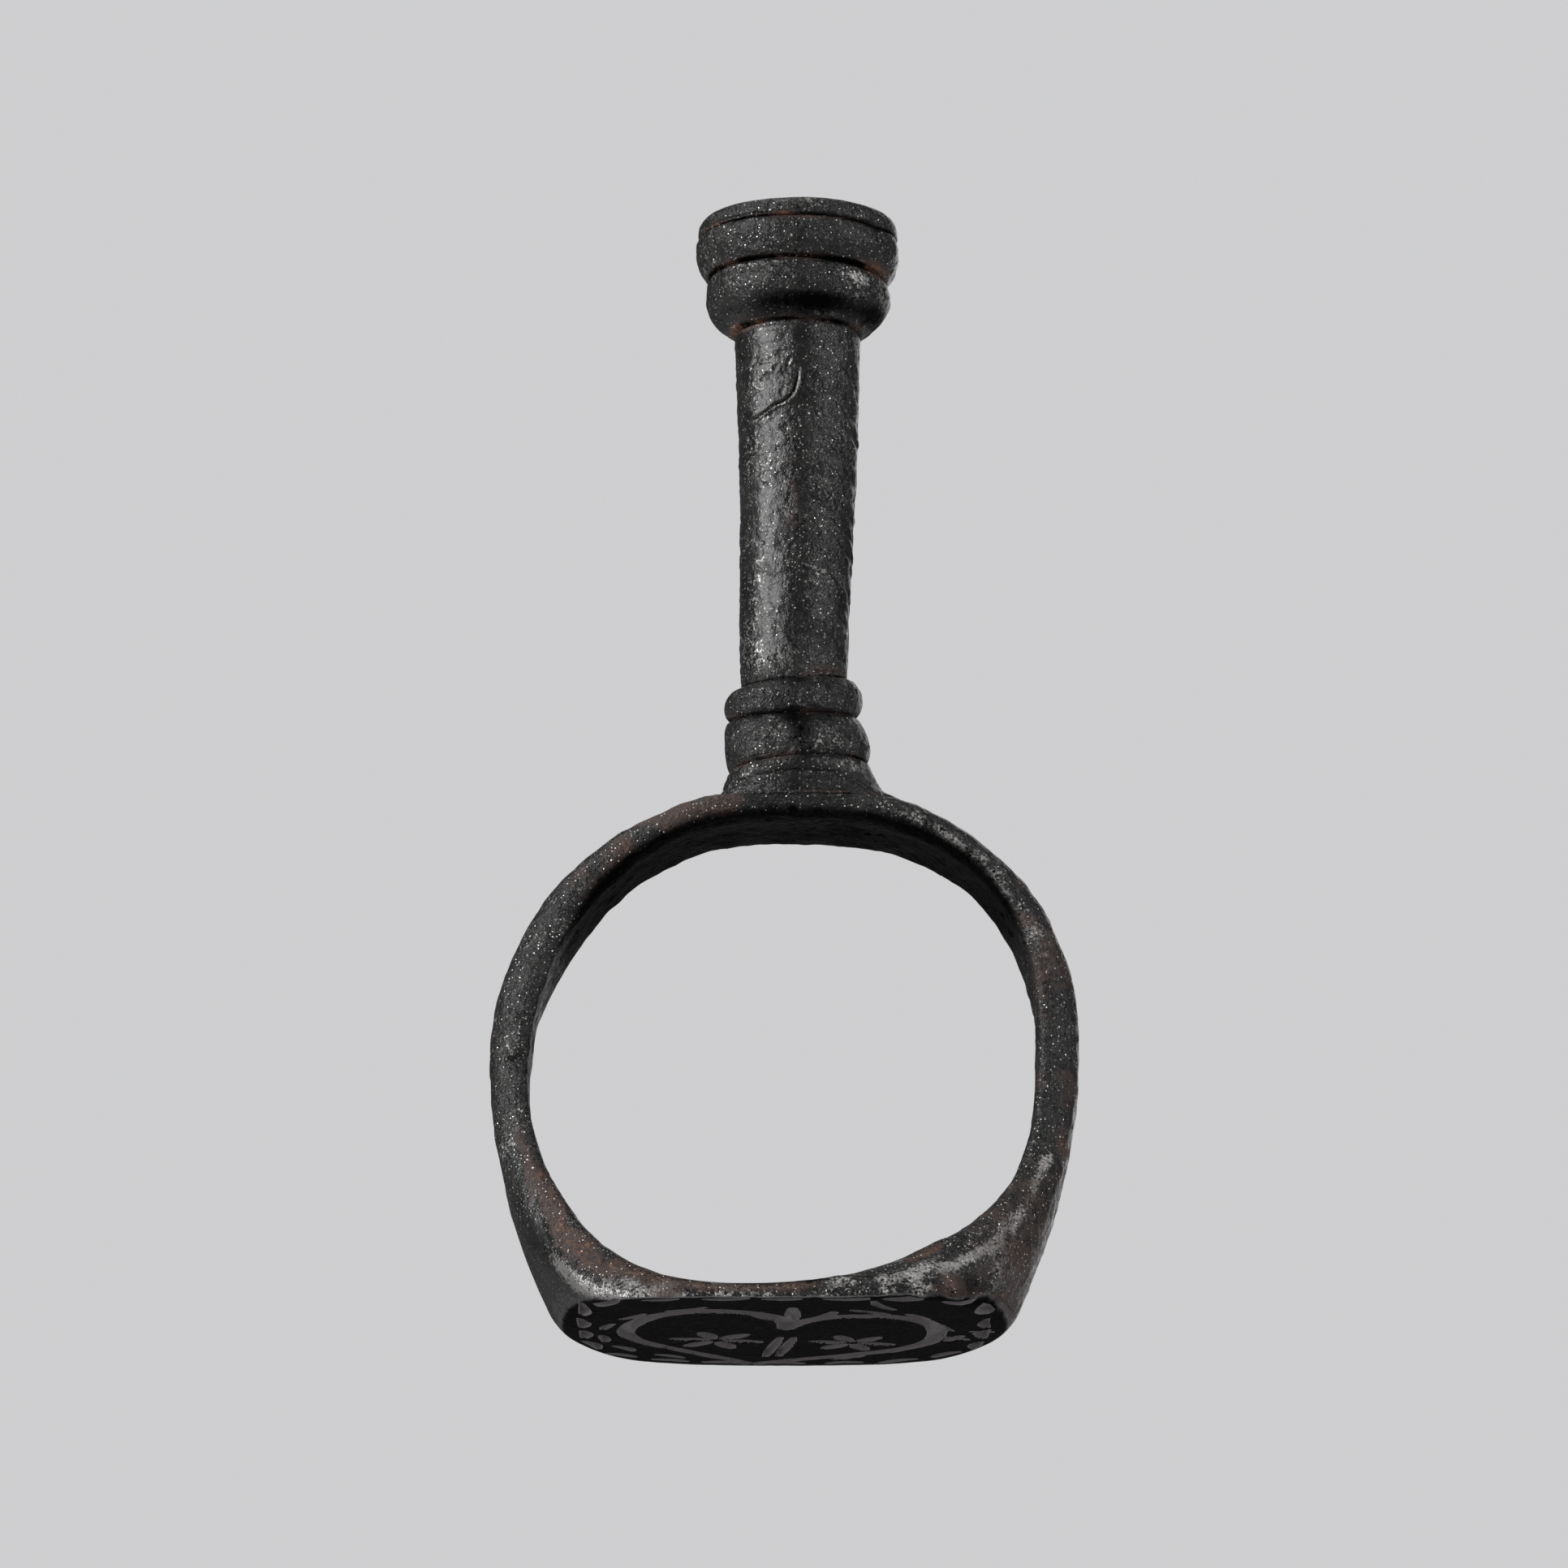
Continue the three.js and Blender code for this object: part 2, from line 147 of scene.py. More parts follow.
def lattice(ix, iy, iz, seed):
    """A fixed random number from -1 to 1 for each point of a whole-numbered lattice: the bits of its three
    numbers and the seed, mixed by products, shifts and exclusive ors."""
    mixed = (ix.astype(np.uint32) * np.uint32(73856093)) ^ (iy.astype(np.uint32) * np.uint32(19349663))
    mixed ^= (iz.astype(np.uint32) * np.uint32(83492791)) ^ np.uint32((seed * 2654435761) % 2**32)
    mixed ^= mixed >> np.uint32(15)
    mixed *= np.uint32(2246822519)
    mixed ^= mixed >> np.uint32(13)
    mixed *= np.uint32(3266489917)
    mixed ^= mixed >> np.uint32(16)
    return mixed / 2147483647.5 - 1.0


def noise(p, size, seed):
    """Value noise: lattice numbers a size apart, blended between the eight corners by smooth steps."""
    q = p / size
    cell = np.floor(q).astype(np.int64)
    part = q - cell
    part = part * part * (3 - 2 * part)
    total = 0.0
    for dx in (0, 1):
        for dy in (0, 1):
            for dz in (0, 1):
                weight = (
                    (part[..., 0] if dx else 1 - part[..., 0])
                    * (part[..., 1] if dy else 1 - part[..., 1])
                    * (part[..., 2] if dz else 1 - part[..., 2])
                )
                corner = lattice(cell[..., 0] + dx, cell[..., 1] + dy, cell[..., 2] + dz, seed)
                total = total + weight * corner
    return total


def grain(p, size, seed, octaves=3):
    """Noise of several sizes, each half as large and half as strong as the one before."""
    return sum(noise(p, size / 2**k, seed + 7 * k) / 2**k for k in range(octaves))


def pits(p, spacing, share, seed):
    """Round pits: in a share of the cells, one minus the squared distance to a random middle over its
    radius. 0 between them."""
    cell = np.floor(p / spacing).astype(np.int64)
    deepest = np.zeros(p.shape[:-1])
    for dx in (-1, 0, 1):
        for dy in (-1, 0, 1):
            for dz in (-1, 0, 1):
                c = (cell[..., 0] + dx, cell[..., 1] + dy, cell[..., 2] + dz)
                there = lattice(*c, seed) < 2 * share - 1
                middle = np.stack([c[k] + 0.5 + 0.35 * lattice(*c, seed + 11 + k) for k in range(3)], -1)
                radius = spacing * (0.33 + 0.15 * lattice(*c, seed + 23))
                away = np.linalg.norm(p - middle * spacing, axis=-1) / radius
                deepest = np.maximum(deepest, np.where(there, np.clip(1 - away**2, 0, 1), 0))
    return deepest


def smooth_step(x, low, high):
    """0 below low, 1 above high, and a smooth rise between them."""
    t = np.clip((x - low) / (high - low), 0, 1)
    return t * t * (3 - 2 * t)


def hump(x, middle, width):
    """A bell round a middle value, 1 there and 0.37 a width away."""
    return np.exp(-(((x - middle) / width) ** 2))


# Meshes

def grid_quads(rows, columns, wrap_rows, wrap_columns):
    """The four corners of each cell of a grid of points, counted row by row."""
    i = np.arange(rows if wrap_rows else rows - 1)
    j = np.arange(columns if wrap_columns else columns - 1)
    i, j = np.meshgrid(i, j, indexing="ij")
    after_i, after_j = (i + 1) % rows, (j + 1) % columns
    here, next_row = i * columns, after_i * columns
    return np.stack([here + j, here + after_j, next_row + after_j, next_row + j], -1).reshape(-1, 4)


def fan(middle, loop):
    """Triangles from a middle point to a closed loop of points."""
    loop = np.asarray(loop)
    return np.stack([np.full(len(loop), middle), loop, np.roll(loop, -1)], -1)


def make_piece(name, node, slot, material, points, quads, triangles=None, **values):
    """A closed smooth mesh in metres that stands for a CAD node, with one number per point under each label.
    Its faces are turned outwards by the sign of its volume."""
    points = np.clip(points, np.array(cad_low) / MM, np.array(cad_high) / MM) * MM
    triangles = np.zeros((0, 3), int) if triangles is None else triangles
    split = np.concatenate([quads[:, [0, 1, 2]], quads[:, [0, 2, 3]], triangles])
    a, b, c = (points[split[:, k]] for k in range(3))
    if np.einsum("ij,ij->", a, np.cross(b, c)) < 0:
        quads, triangles = quads[:, ::-1], triangles[:, ::-1]
    corners = np.concatenate([quads.ravel(), triangles.ravel()]).astype(np.int32)
    sizes = np.concatenate([np.full(len(quads), 4), np.full(len(triangles), 3)]).astype(np.int32)
    mesh = bpy.data.meshes.new(name)
    mesh.vertices.add(len(points))
    mesh.vertices.foreach_set("co", points.astype(np.float32).ravel())
    mesh.loops.add(len(corners))
    mesh.loops.foreach_set("vertex_index", corners)
    mesh.polygons.add(len(sizes))
    mesh.polygons.foreach_set("loop_start", (np.cumsum(sizes) - sizes).astype(np.int32))
    mesh.polygons.foreach_set("use_smooth", np.ones(len(sizes), bool))
    mesh.update(calc_edges=True)
    for label, value in values.items():
        layer = mesh.attributes.new(label, "FLOAT", "POINT")
        layer.data.foreach_set("value", np.asarray(value, np.float32).ravel())
    mesh.set_sharp_from_angle(angle=SHARP_EDGE)
    mesh.materials.append(material)
    piece = bpy.data.objects.new(name, mesh)
    bpy.context.scene.collection.objects.link(piece)
    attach(piece, BODY)
    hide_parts(node)


# Materials

class Wire:
    """A shader value. Arithmetic on it adds Math nodes to its tree."""

    def __init__(self, tree, socket):
        self.tree, self.socket = tree, socket

    def combine(self, operation, other, swapped=False):
        """This value and another one under a Math node's operation, or the other one first."""
        node = self.tree.nodes.new("ShaderNodeMath")
        node.operation = operation
        first, second = (other, self) if swapped else (self, other)
        for entry, value in zip(node.inputs, (first, second)):
            connect(self.tree, entry, value)
        return Wire(self.tree, node.outputs[0])

    def __add__(self, other):
        return self.combine("ADD", other)

    __radd__ = __add__

    def __mul__(self, other):
        return self.combine("MULTIPLY", other)

    __rmul__ = __mul__

    def __sub__(self, other):
        return self.combine("SUBTRACT", other)

    def __rsub__(self, other):
        return self.combine("SUBTRACT", other, swapped=True)

    def __lt__(self, other):
        return self.combine("LESS_THAN", other)


def connect(tree, entry, value):
    """Links a value into a socket, or sets the socket to it."""
    if isinstance(value, Wire):
        tree.links.new(value.socket, entry)
    elif entry.type == "RGBA":
        entry.default_value = (*value, 1)
    else:
        entry.default_value = value


class Nodes:
    """A node tree whose nodes are added by type, settings and sockets."""

    def __init__(self, tree):
        self.tree = tree

    def node(self, kind, *outputs, inputs=None, **settings):
        """Adds a node of a kind and gives its named outputs, or its first one."""
        made = self.tree.nodes.new("ShaderNode" + kind)
        for label, value in settings.items():
            setattr(made, label, value)
        for label, value in (inputs or {}).items():
            connect(self.tree, made.inputs[label], value)
        wires = [Wire(self.tree, made.outputs[label]) for label in outputs or (0,)]
        return wires[0] if len(wires) == 1 else wires

    def mix(self, share, first, second):
        """Colours: the first where the share is 0, the second where it is 1."""
        return self.node("Mix", 2, data_type="RGBA", inputs={0: share, 6: first, 7: second})


class Finish(Nodes):
    """A material with one Principled shader."""

    def __init__(self, name):
        self.material = bpy.data.materials.new(name)
        self.material.use_nodes = True
        super().__init__(self.material.node_tree)
        self.shader = self.tree.nodes["Principled BSDF"]

    def attribute(self, label):
        """The number that the mesh holds at each point under a label."""
        return self.node("Attribute", "Fac", attribute_name=label)

    def cells(self, size_mm):
        """The sockets that give a texture the piece's own place, in cells of a size."""
        return {"Vector": self.node("TexCoord", "Object"), "Scale": 1 / (size_mm * MM)}

    def noise(self, size_mm, detail=3.0, roughness=0.55):
        """Noise from 0 to 1 whose coarsest lumps are about a size across."""
        entries = {**self.cells(size_mm), "Detail": detail, "Roughness": roughness}
        return self.node("TexNoise", inputs=entries)

    def ramp(self, value, low, high):
        """A smooth step from 0 at low to 1 at high, and level beyond them."""
        entries = {"Value": value, "From Min": low, "From Max": high}
        return self.node("MapRange", interpolation_type="SMOOTHSTEP", inputs=entries)

    def specks(self, size_mm, radius, share):
        """Scattered specks: in a share of the cells, balls with a radius in cells, unevenly bright."""
        away, chance = self.node("TexVoronoi", "Distance", "Color", inputs=self.cells(size_mm))
        pick, bright = self.node("SeparateColor", "Red", "Green", inputs={"Color": chance})
        return (away < radius) * (pick < share) * bright

    def bump(self, height, distance_mm, normal=None):
        """The normal of a surface lifted by a height times a distance, over another normal."""
        entries = {"Height": height, "Strength": 1.0, "Distance": distance_mm * MM}
        if normal:
            entries["Normal"] = normal
        return self.node("Bump", inputs=entries)

    def set(self, **entries):
        """Fills the shader's sockets, whose names have spaces for underscores, and gives the material."""
        for label, value in entries.items():
            connect(self.tree, self.shader.inputs[label.replace("_", " ")], value)
        return self.material


# Colours of the patina, and of what shows through it. The soot colour also paints shade, the worn colour also
# paints highlights, the dust colour also paints the light on the cut walls, and the glint colour paints
# glints.
IRON_DARK = (0.0035, 0.0034, 0.0033)
IRON_MID = (0.0150, 0.0143, 0.0138)
# bare metal, and also the colour of painted highlights
IRON_BARE_AND_HIGHLIGHT = (0.320, 0.312, 0.303)
RUST_BROWN = (0.041, 0.0245, 0.0205)
RUST_ORANGE = (0.140, 0.060, 0.028)
# soot, and also painted shade in creases and on shaded sides
SOOT_AND_SHADE = (0.0025, 0.0024, 0.0024)
# pale deposit in the cuts, and also the painted light on their walls
DUST_AND_WALL_LIGHT = (0.112, 0.102, 0.105)
# painted glints: the colour of bright metallic specks
PAINTED_GLINT = (0.85, 0.84, 0.80)
BRASS = (0.300, 0.190, 0.085)
IRON_ROUGHNESS = 0.30
IRON_SPECULAR = 0.29


def patinated_iron(name, worn_and_highlit=IRON_BARE_AND_HIGHLIGHT, painted_glint_share=0.55, edge=(1, 1, 1)):
    """Black iron patina: cloudy dark greys, with rust by the piece's rust value. Its soot value gives soot in
    pits and painted shade in creases and on shaded sides, its wear value bare metal and painted highlights,
    and its dust value a pale fill of the cuts that also paints the light on their walls. Bright metallic
    specks are painted glints. The surface is gritty where it isn't calm. Each mask is a smooth ramp of the
    piece's value plus noises about their mean of 0.5."""
    f = Finish(name)
    labels = "rust", "wear", "dust", "soot", "calm"
    rust, wear, dust, soot, calm = (f.attribute(label) for label in labels)
    cloud = f.noise(2.2, detail=5.0)
    blotch = f.noise(0.7, detail=4.0, roughness=0.65)
    grit = f.noise(0.24, detail=3.0, roughness=0.65)
    fine = f.noise(0.12, detail=2.0, roughness=0.7)
    # pale fill of the cuts: deposit, and painted light on the cut walls
    dusty = f.ramp(dust + (fine - 0.5) * 0.2, 0.35, 0.6)
    iron = f.mix(f.ramp(cloud * 0.45 + blotch * 0.55, 0.36, 0.66), IRON_DARK, IRON_MID)
    # bare metal, which also paints highlights where the wear value is raised for them
    rubbed_and_highlit = wear + (grit - 0.5) * 1.5 + (fine - 0.5) * 1.5 + (blotch - 0.5) * 0.5
    bare_and_highlit = f.ramp(rubbed_and_highlit, 0.46, 1.1) * (1 - dusty)
    iron = f.mix(bare_and_highlit, iron, worn_and_highlit)
    rusty = f.ramp(rust + (blotch - 0.5) * 0.9 + (grit - 0.5) * 0.5, 0.28, 0.66)
    orange = f.ramp(rust + (grit - 0.5) * 0.9 + (blotch - 0.5) * 0.6, 0.66, 1.0)
    colour = f.mix(rusty * 0.85, iron, f.mix(orange, RUST_BROWN, RUST_ORANGE))
    pitted = f.ramp((grit + fine) * 0.5, 0.45, 0.35) * (1 - calm) * f.ramp(blotch, 0.40, 0.62) * 0.6
    # near-black soot, which also paints shade where the soot value is raised in creases and on shaded sides
    sooty = f.ramp(soot + pitted + (grit - 0.5) * 0.5, 0.25, 0.8) * (1 - orange * 0.8) * (1 - dusty)
    colour = f.mix(sooty, colour, SOOT_AND_SHADE)
    colour = f.mix(dusty, colour, DUST_AND_WALL_LIGHT)
    # painted glints: scattered specks in the bright glint colour, made metallic
    painted_glint = f.specks(0.15, 0.19, painted_glint_share) + f.specks(0.30, 0.11, painted_glint_share)
    painted_glint = painted_glint * (1 - dusty) * (1 - sooty) * (1 - calm * 0.8)
    colour = f.mix(painted_glint, colour, PAINTED_GLINT)
    rough = IRON_ROUGHNESS + (grit - 0.5) * 0.35 + rusty * 0.2 + dusty * 0.4 + sooty * 0.5 + bare_and_highlit * 0.06
    normal = f.bump(blotch * (1 - calm), 0.20)
    normal = f.bump(grit * (1 - calm), 0.10, normal)
    normal = f.bump(fine * (1 - calm), 0.025, normal)
    metal = (bare_and_highlit * 0.80 + painted_glint) * (1 - rusty * 0.7)
    metal = (metal + sooty * (1 - metal)) * (1 - dusty)
    return f.set(
        Base_Color=colour, Roughness=rough, Metallic=metal, Normal=normal,
        Specular_IOR_Level=IRON_SPECULAR, Specular_Tint=edge,
    )


# Hoop and plate

def hole_distance(p):
    """About how far a point lies outside the finger hole's wall, in the metal: a superellipse about the
    hole's middle, with its own height and squareness above and below, sheared towards its top and bottom. The
    hole is smaller at the far side of the crown, and by half a cosine wave at each place with extra strap."""
    x, y, z = p[..., 0], p[..., 1], p[..., 2]
    fall = BED_FALL * (y / (FACE_WIDTH / 2)) ** 2
    upper = z > WIDEST
    half = np.where(upper, HOLE_TOP - WIDEST, WIDEST - HOLE_BOTTOM + fall)
    squareness = np.where(upper, HOLE_TOP_SQUARENESS, HOLE_BOTTOM_SQUARENESS)
    v = np.abs(z - WIDEST) / half
    shift = np.where(upper, HOLE_TOP_SHIFT, HOLE_BOTTOM_SHIFT)
    u = np.abs(x - shift * np.minimum(v, 1) ** HOLE_SHIFT_POWER) / (HOLE_WIDTH / 2)
    reach = (u**squareness + v**squareness) ** (1 / squareness)
    turn = np.degrees(np.arctan2(z - TURN_CENTRE, x))
    extra = CROWN_NARROWING * smooth_step(y, -1.0, 2.4) * smooth_step(z, 12.0, 17.0)
    for thickness, middle, half_arc in STRAP_EXTRA:
        away = np.minimum(np.abs((turn - middle + 180) % 360 - 180) / half_arc, 1)
        extra = extra + thickness * (0.5 + 0.5 * np.cos(np.pi * away))
    return (reach - 1) * HOLE_MEAN_RADIUS + extra


# X and Z along the ridges of the rough shoulder and of the crown at +X, which the relief raises and along
# which highlights are painted
SHOULDER_RIDGE = (10.6, 6.6), (9.9, 4.8), (8.7, 2.9), (6.8, 1.5), (4.6, 1.0)
CROWN_RIDGE = (4.2, 21.45), (6.6, 20.2), (8.1, 18.95), (9.9, 16.8), (10.9, 14.8)


def outline_at(z):
    """Half length, half width, lean and near and far squareness of the seal's body seen from above, at a
    height. The length is a superellipse up to the crown's top and a power of the drop below the widest place,
    and the width is a power of the drop from the shoulder's top."""
    climb = np.clip((z - WIDEST) / (CROWN_TOP - WIDEST), 0, 0.9999)
    drop = np.clip((WIDEST - z) / WIDEST, 0, 2)
    above = HOOP_LENGTH / 2 * (1 - climb**CROWN_SQUARENESS) ** (1 / CROWN_SQUARENESS)
    below = HOOP_LENGTH / 2 + (FACE_LENGTH / 2 - HOOP_LENGTH / 2) * drop**SHOULDER_SWEEP
    half_length = np.where(z > WIDEST, above, below)
    flare = np.clip((SHOULDER_HEIGHT - z) / SHOULDER_HEIGHT, 0, 1.1)
    half_width = (CROWN_WIDTH + (FACE_WIDTH - CROWN_WIDTH) * flare**SHOULDER_FLARE) / 2
    near = STRAP_SQUARENESS + (FACE_NEAR_SQUARENESS - STRAP_SQUARENESS) * flare
    far = STRAP_SQUARENESS + (FACE_FAR_SQUARENESS - STRAP_SQUARENESS) * flare
    return half_length, half_width, CROWN_LEAN * climb, near, far


def body_distance(p):
    """About how far a point lies outside the body's outer wall: a superellipse at each height, whose measure
    is divided by its own slope."""
    half_length, half_width, lean, near, far = outline_at(p[..., 2])
    n = np.where(p[..., 1] < 0, near, far)
    u = np.abs(p[..., 0] - lean) / half_length + 1e-9
    v = np.abs(p[..., 1]) / half_width + 1e-9
    reach = (u**n + v**n) ** (1 / n)
    slope = np.hypot((u / reach) ** (n - 1) / half_length, (v / reach) ** (n - 1) / half_width)
    return (reach - 1) / slope


def smooth_max(a, b, width):
    """The larger of two values, and a little more where they are closer than a width: a quarter of the width
    times the square of how much closer, as a share of it."""
    h = np.clip(width - np.abs(a - b), 0, None) / width
    return np.maximum(a, b) + h * h * width / 4


def corner_distance(p):
    """How far a point lies outside the two flats that are filed across the near corners: the larger of its
    heights over the two planes."""
    farthest = None
    for end in (-1, 1):
        out = np.array([end * math.cos(CORNER_TILT) * math.cos(CORNER_TURN),
                        -math.cos(CORNER_TILT) * math.sin(CORNER_TURN), -math.sin(CORNER_TILT)])
        away = (p - np.array([end * CORNER_START, -FACE_WIDTH / 2, 0])) @ out
        farthest = away if farthest is None else np.maximum(farthest, away)
    return farthest


def outer_distance(p):
    """About how far a point lies outside the outer wall with its filed corners."""
    return smooth_max(body_distance(p), corner_distance(p), 2 * CORNER_ROUNDING)


def shell_distance(p):
    """The same, and outside the face below, with a soft rounding between them, widest at the two ends."""
    width = RIM_ON_SIDES + (RIM_AT_ENDS - RIM_ON_SIDES) * smooth_step(np.abs(p[..., 0]), 5.5, 8.5)
    return smooth_max(outer_distance(p), -p[..., 2], width)


def hoop_field(p):
    """Negative in the hoop's metal: inside the outer wall, outside the hole, above the bed and below the
    seat. The edge between the two walls is rounded more towards the crown."""
    rounding = LIP_ROUNDING + (STRAP_ROUNDING - LIP_ROUNDING) * smooth_step(p[..., 2], 2.0, 8.0)
    rounding = rounding + (CROWN_ROUNDING - STRAP_ROUNDING) * smooth_step(p[..., 2], 13.0, 18.0)
    wall = smooth_max(shell_distance(p), -hole_distance(p), 2 * rounding)
    return np.maximum(wall, np.maximum(BED - p[..., 2], p[..., 2] - SEAT))


def level_normal(p):
    """The level direction straight out of the outer wall: the slope of its distance in X and Y."""
    east, north = np.array([SLOPE_STEP, 0, 0]), np.array([0, SLOPE_STEP, 0])
    out = np.stack([shell_distance(p + east) - shell_distance(p - east),
                    shell_distance(p + north) - shell_distance(p - north), 0 * p[..., 0]], -1)
    return out / (np.linalg.norm(out, axis=-1, keepdims=True) + 1e-9)


def near_spot(p, middle, reach):
    """1 at a point, fading to 0.37 at a reach along each axis: e to the minus squared distance in reaches."""
    return np.exp(-np.sum(((p - np.array(middle)) / np.array(reach)) ** 2, axis=-1))


def rough_zone(p):
    """1 in the middle of the pitted near shoulder at +X and of the near edge below it, and fading round them:
    the larger of two spots."""
    shoulder = near_spot(p, (7.6, -6.0, 1.8), (2.6, 3.6, 3.0))
    return np.maximum(shoulder, near_spot(p, (5.2, -8.0, 0.9), (2.6, 2.0, 0.9)))


def ridge_closeness(p, ridge, width):
    """How close a point of the near side is to a ridge, from 0 to 1: a bell over the distance to its nearest
    segment in X and Z, made uneven by noise."""
    away = None
    for (x0, z0), (x1, z1) in zip(ridge[:-1], ridge[1:]):
        east, up = p[..., 0] - x0, p[..., 2] - z0
        share = (east * (x1 - x0) + up * (z1 - z0)) / ((x1 - x0) ** 2 + (z1 - z0) ** 2)
        share = np.clip(share, 0, 1)
        reach = np.hypot(east - share * (x1 - x0), up - share * (z1 - z0))
        away = reach if away is None else np.minimum(away, reach)
    return hump(away + 0.2 * noise(p, 0.9, 97), 0, width) * (p[..., 1] < -1.5)


def folds(p):
    """Ragged ridges and hollows of the rough shoulder, from about -1 to 1."""
    return grain(p * np.array([1, 1, 0.7]), 0.95, 95, 2)


def on_flat(p):
    """1 on the filed flats of the near corners, 0 elsewhere."""
    return smooth_step(corner_distance(p) - body_distance(p), 0.20, 0.80)


def on_end(p, low=0.02, high=0.15):
    """1 on the body's two end walls, 0 on its near and far side."""
    half_length, half_width, lean, _, _ = outline_at(p[..., 2])
    share = np.abs(p[..., 0] - lean) / half_length - np.abs(p[..., 1]) / half_width
    return smooth_step(share, low, high)


def smooth_zone(p):
    """The smooth dark end at -X: its filed flat and its end wall near the face."""
    low = 1 - smooth_step(p[..., 2], 3.0, 6.5)
    return 0.9 * np.maximum(on_flat(p), on_end(p)) * low * (p[..., 0] < 0)


def body_relief(p):
    """Height of the hoop's and the plate's uneven forged surface over their plain form in millimetres, and
    how much each point lies in a hollow, from -1 on bumps to 1 in pits. It sums noises, less round pits, plus
    the ridges, less one dent and the seam at +X."""
    rough, smooth = rough_zone(p), smooth_zone(p)
    outer = smooth_step(hole_distance(p), 0.05, 0.6)
    calm = 1 - 0.85 * smooth
    edge = smooth_step(-p[..., 1], 6.5, 7.5)
    fine = 0.030 * grain(p, 0.75, 5) + 0.022 * noise(p, 0.45, 14) + 0.045 * edge * grain(p, 0.6, 18, 2)
    fine -= 0.050 * pits(p, 0.62, 0.22, 8) + 0.045 * pits(p, 0.45, 0.20, 12)
    fine = fine * calm
    dent = 0.22 * near_spot(p, (-10.9, -1.8, 10.95), (0.5, 1.2, 0.13))
    bump = 0.12 * near_spot(p, (-11.45, -1.4, 12.2), (0.22, 0.3, 0.22))
    seam = hump(hole_distance(p), 0.62 + 0.1 * noise(p, 1.5, 15), 0.14) * smooth_step(p[..., 0], 6, 8)
    seam *= 0.10 * smooth_step(p[..., 2], 8, 11) * (0.6 + 0.6 * noise(p, 0.8, 16))
    ridge = 0.12 * folds(p) * rough + 0.12 * ridge_closeness(p, SHOULDER_RIDGE, 0.45)
    ridge = (ridge + 0.14 * ridge_closeness(p, CROWN_RIDGE, 0.40)) * outer
    relief = 0.055 * grain(p, 2.6, 3) * calm + fine + ridge + bump - dent - seam - 0.04
    return relief, np.clip(-(fine + 0.01) / 0.06, -1, 1)


def body_rust(p):
    """Where the hoop and plate are reddish brown: along the finger's edge of the left shoulder, on the rough
    shoulder, beside the foot and in scattered patches."""
    from_hole = hole_distance(p)
    near = p[..., 1] < 0
    low = 1 - smooth_step(p[..., 2], 7.0, 12.0)
    side = hump(from_hole, 0.62, 0.30) * hump(p[..., 0], -8.6, 3.4) * low * near
    side *= 0.95 + 0.35 * noise(p, 0.9, 36)
    edge = 0.75 * hump(from_hole, 0.15, 0.25) * (p[..., 2] < 3) * near
    edge *= smooth_step(noise(p, 1.4, 33), -0.4, 0.4)
    foot = 0.62 * near_spot(p, (-3.8, -2.4, 21.4), (1.9, 1.5, 1.0)) * (1 + 0.6 * noise(p, 0.8, 34))
    foot += 0.35 * near_spot(p, (2.5, -2, 21.3), (2.5, 1, 0.8))
    foot += 0.50 * near_spot(p, (-7.0, -2.0, 18.8), (3.0, 1.6, 2.6)) * (0.9 + 0.8 * grain(p, 1.1, 35))
    patches = 0.52 * smooth_step(grain(p, 2.4, 31), 0.10, 0.8)
    right = 0.48 * hump(p[..., 0], 9.5, 3.5) * (1 - smooth_step(p[..., 2], 5, 9)) * near
    return np.clip(0.80 * side + edge + foot + patches + right, 0, 0.68) * (1 - 0.7 * smooth_zone(p))


def body_wear(p):
    """Bare grey metal along the near edge of the plate, on the rough shoulder's bumps and in cloudy patches,
    and painted highlights along the ridges: at the smooth flat at -X, on the rough shoulder and on the crown
    at +X.
    """
    patches = 0.35 * smooth_step(noise(p, 1.8, 44), -0.3, 0.9)
    lip = 0.50 * smooth_step(-p[..., 1], 6.3, 7.4) * (1 - smooth_step(p[..., 2], 0.8, 1.2))
    lip *= 0.90 + 0.35 * noise(p, 0.7, 45)
    torn = smooth_step(noise(p * np.array([1, 1, 0.5]), 0.55, 98), -0.5, 0.5)
    lip *= 1 - smooth_step(p[..., 0], 2, 5) * torn
    # painted highlight along the ridge where the near side meets the filed flat at -X
    boundary = hump(corner_distance(p) - body_distance(p), 0.0, 0.42) * (p[..., 0] < 0)
    ridge = 1.1 * boundary * (p[..., 1] < -2) * (p[..., 2] < 4.5) * (1 - on_end(p, 0.10, 0.30))
    # painted highlight along the rough shoulder's ridge, broken by noise
    shoulder_highlight = 0.85 * ridge_closeness(p, SHOULDER_RIDGE, 0.28) * smooth_step(noise(p, 1.0, 99), -1.1, -0.2)
    blotches = 0.35 * rough_zone(p) * smooth_step(folds(p), 0.1, 0.6)
    # painted highlight along the crown's ridge at +X, broken by noise
    crown = 0.70 * ridge_closeness(p, CROWN_RIDGE, 0.34) * smooth_step(noise(p, 1.2, 101), -0.9, 0.1)
    worn_and_highlit = patches + lip + shoulder_highlight + blotches + crown
    return np.clip(worn_and_highlit * (1 - 0.85 * smooth_zone(p)) + ridge, 0, 1)


def body_soot(p):
    """Blackness that paints shade on the finger's side of the strap, deepest and widest on the crown, and on
    the smooth flat at -X, and soot in the hollows of the rough shoulder.
    """
    crown = smooth_step(p[..., 2], 14, 19)
    # painted shade on the strap's side towards the finger, spreading further on the crown
    inner = 1 - smooth_step(hole_distance(p), 0.02, 0.30 + 0.7 * crown)
    hollow = 0.5 * rough_zone(p) * smooth_step(-folds(p), 0.0, 0.6)
    # painted shade on the smooth flat and end at -X
    dark = np.maximum(inner * (0.5 + 0.4 * crown), 0.45 * smooth_zone(p))
    return np.clip(np.maximum(dark, hollow), 0, 1)


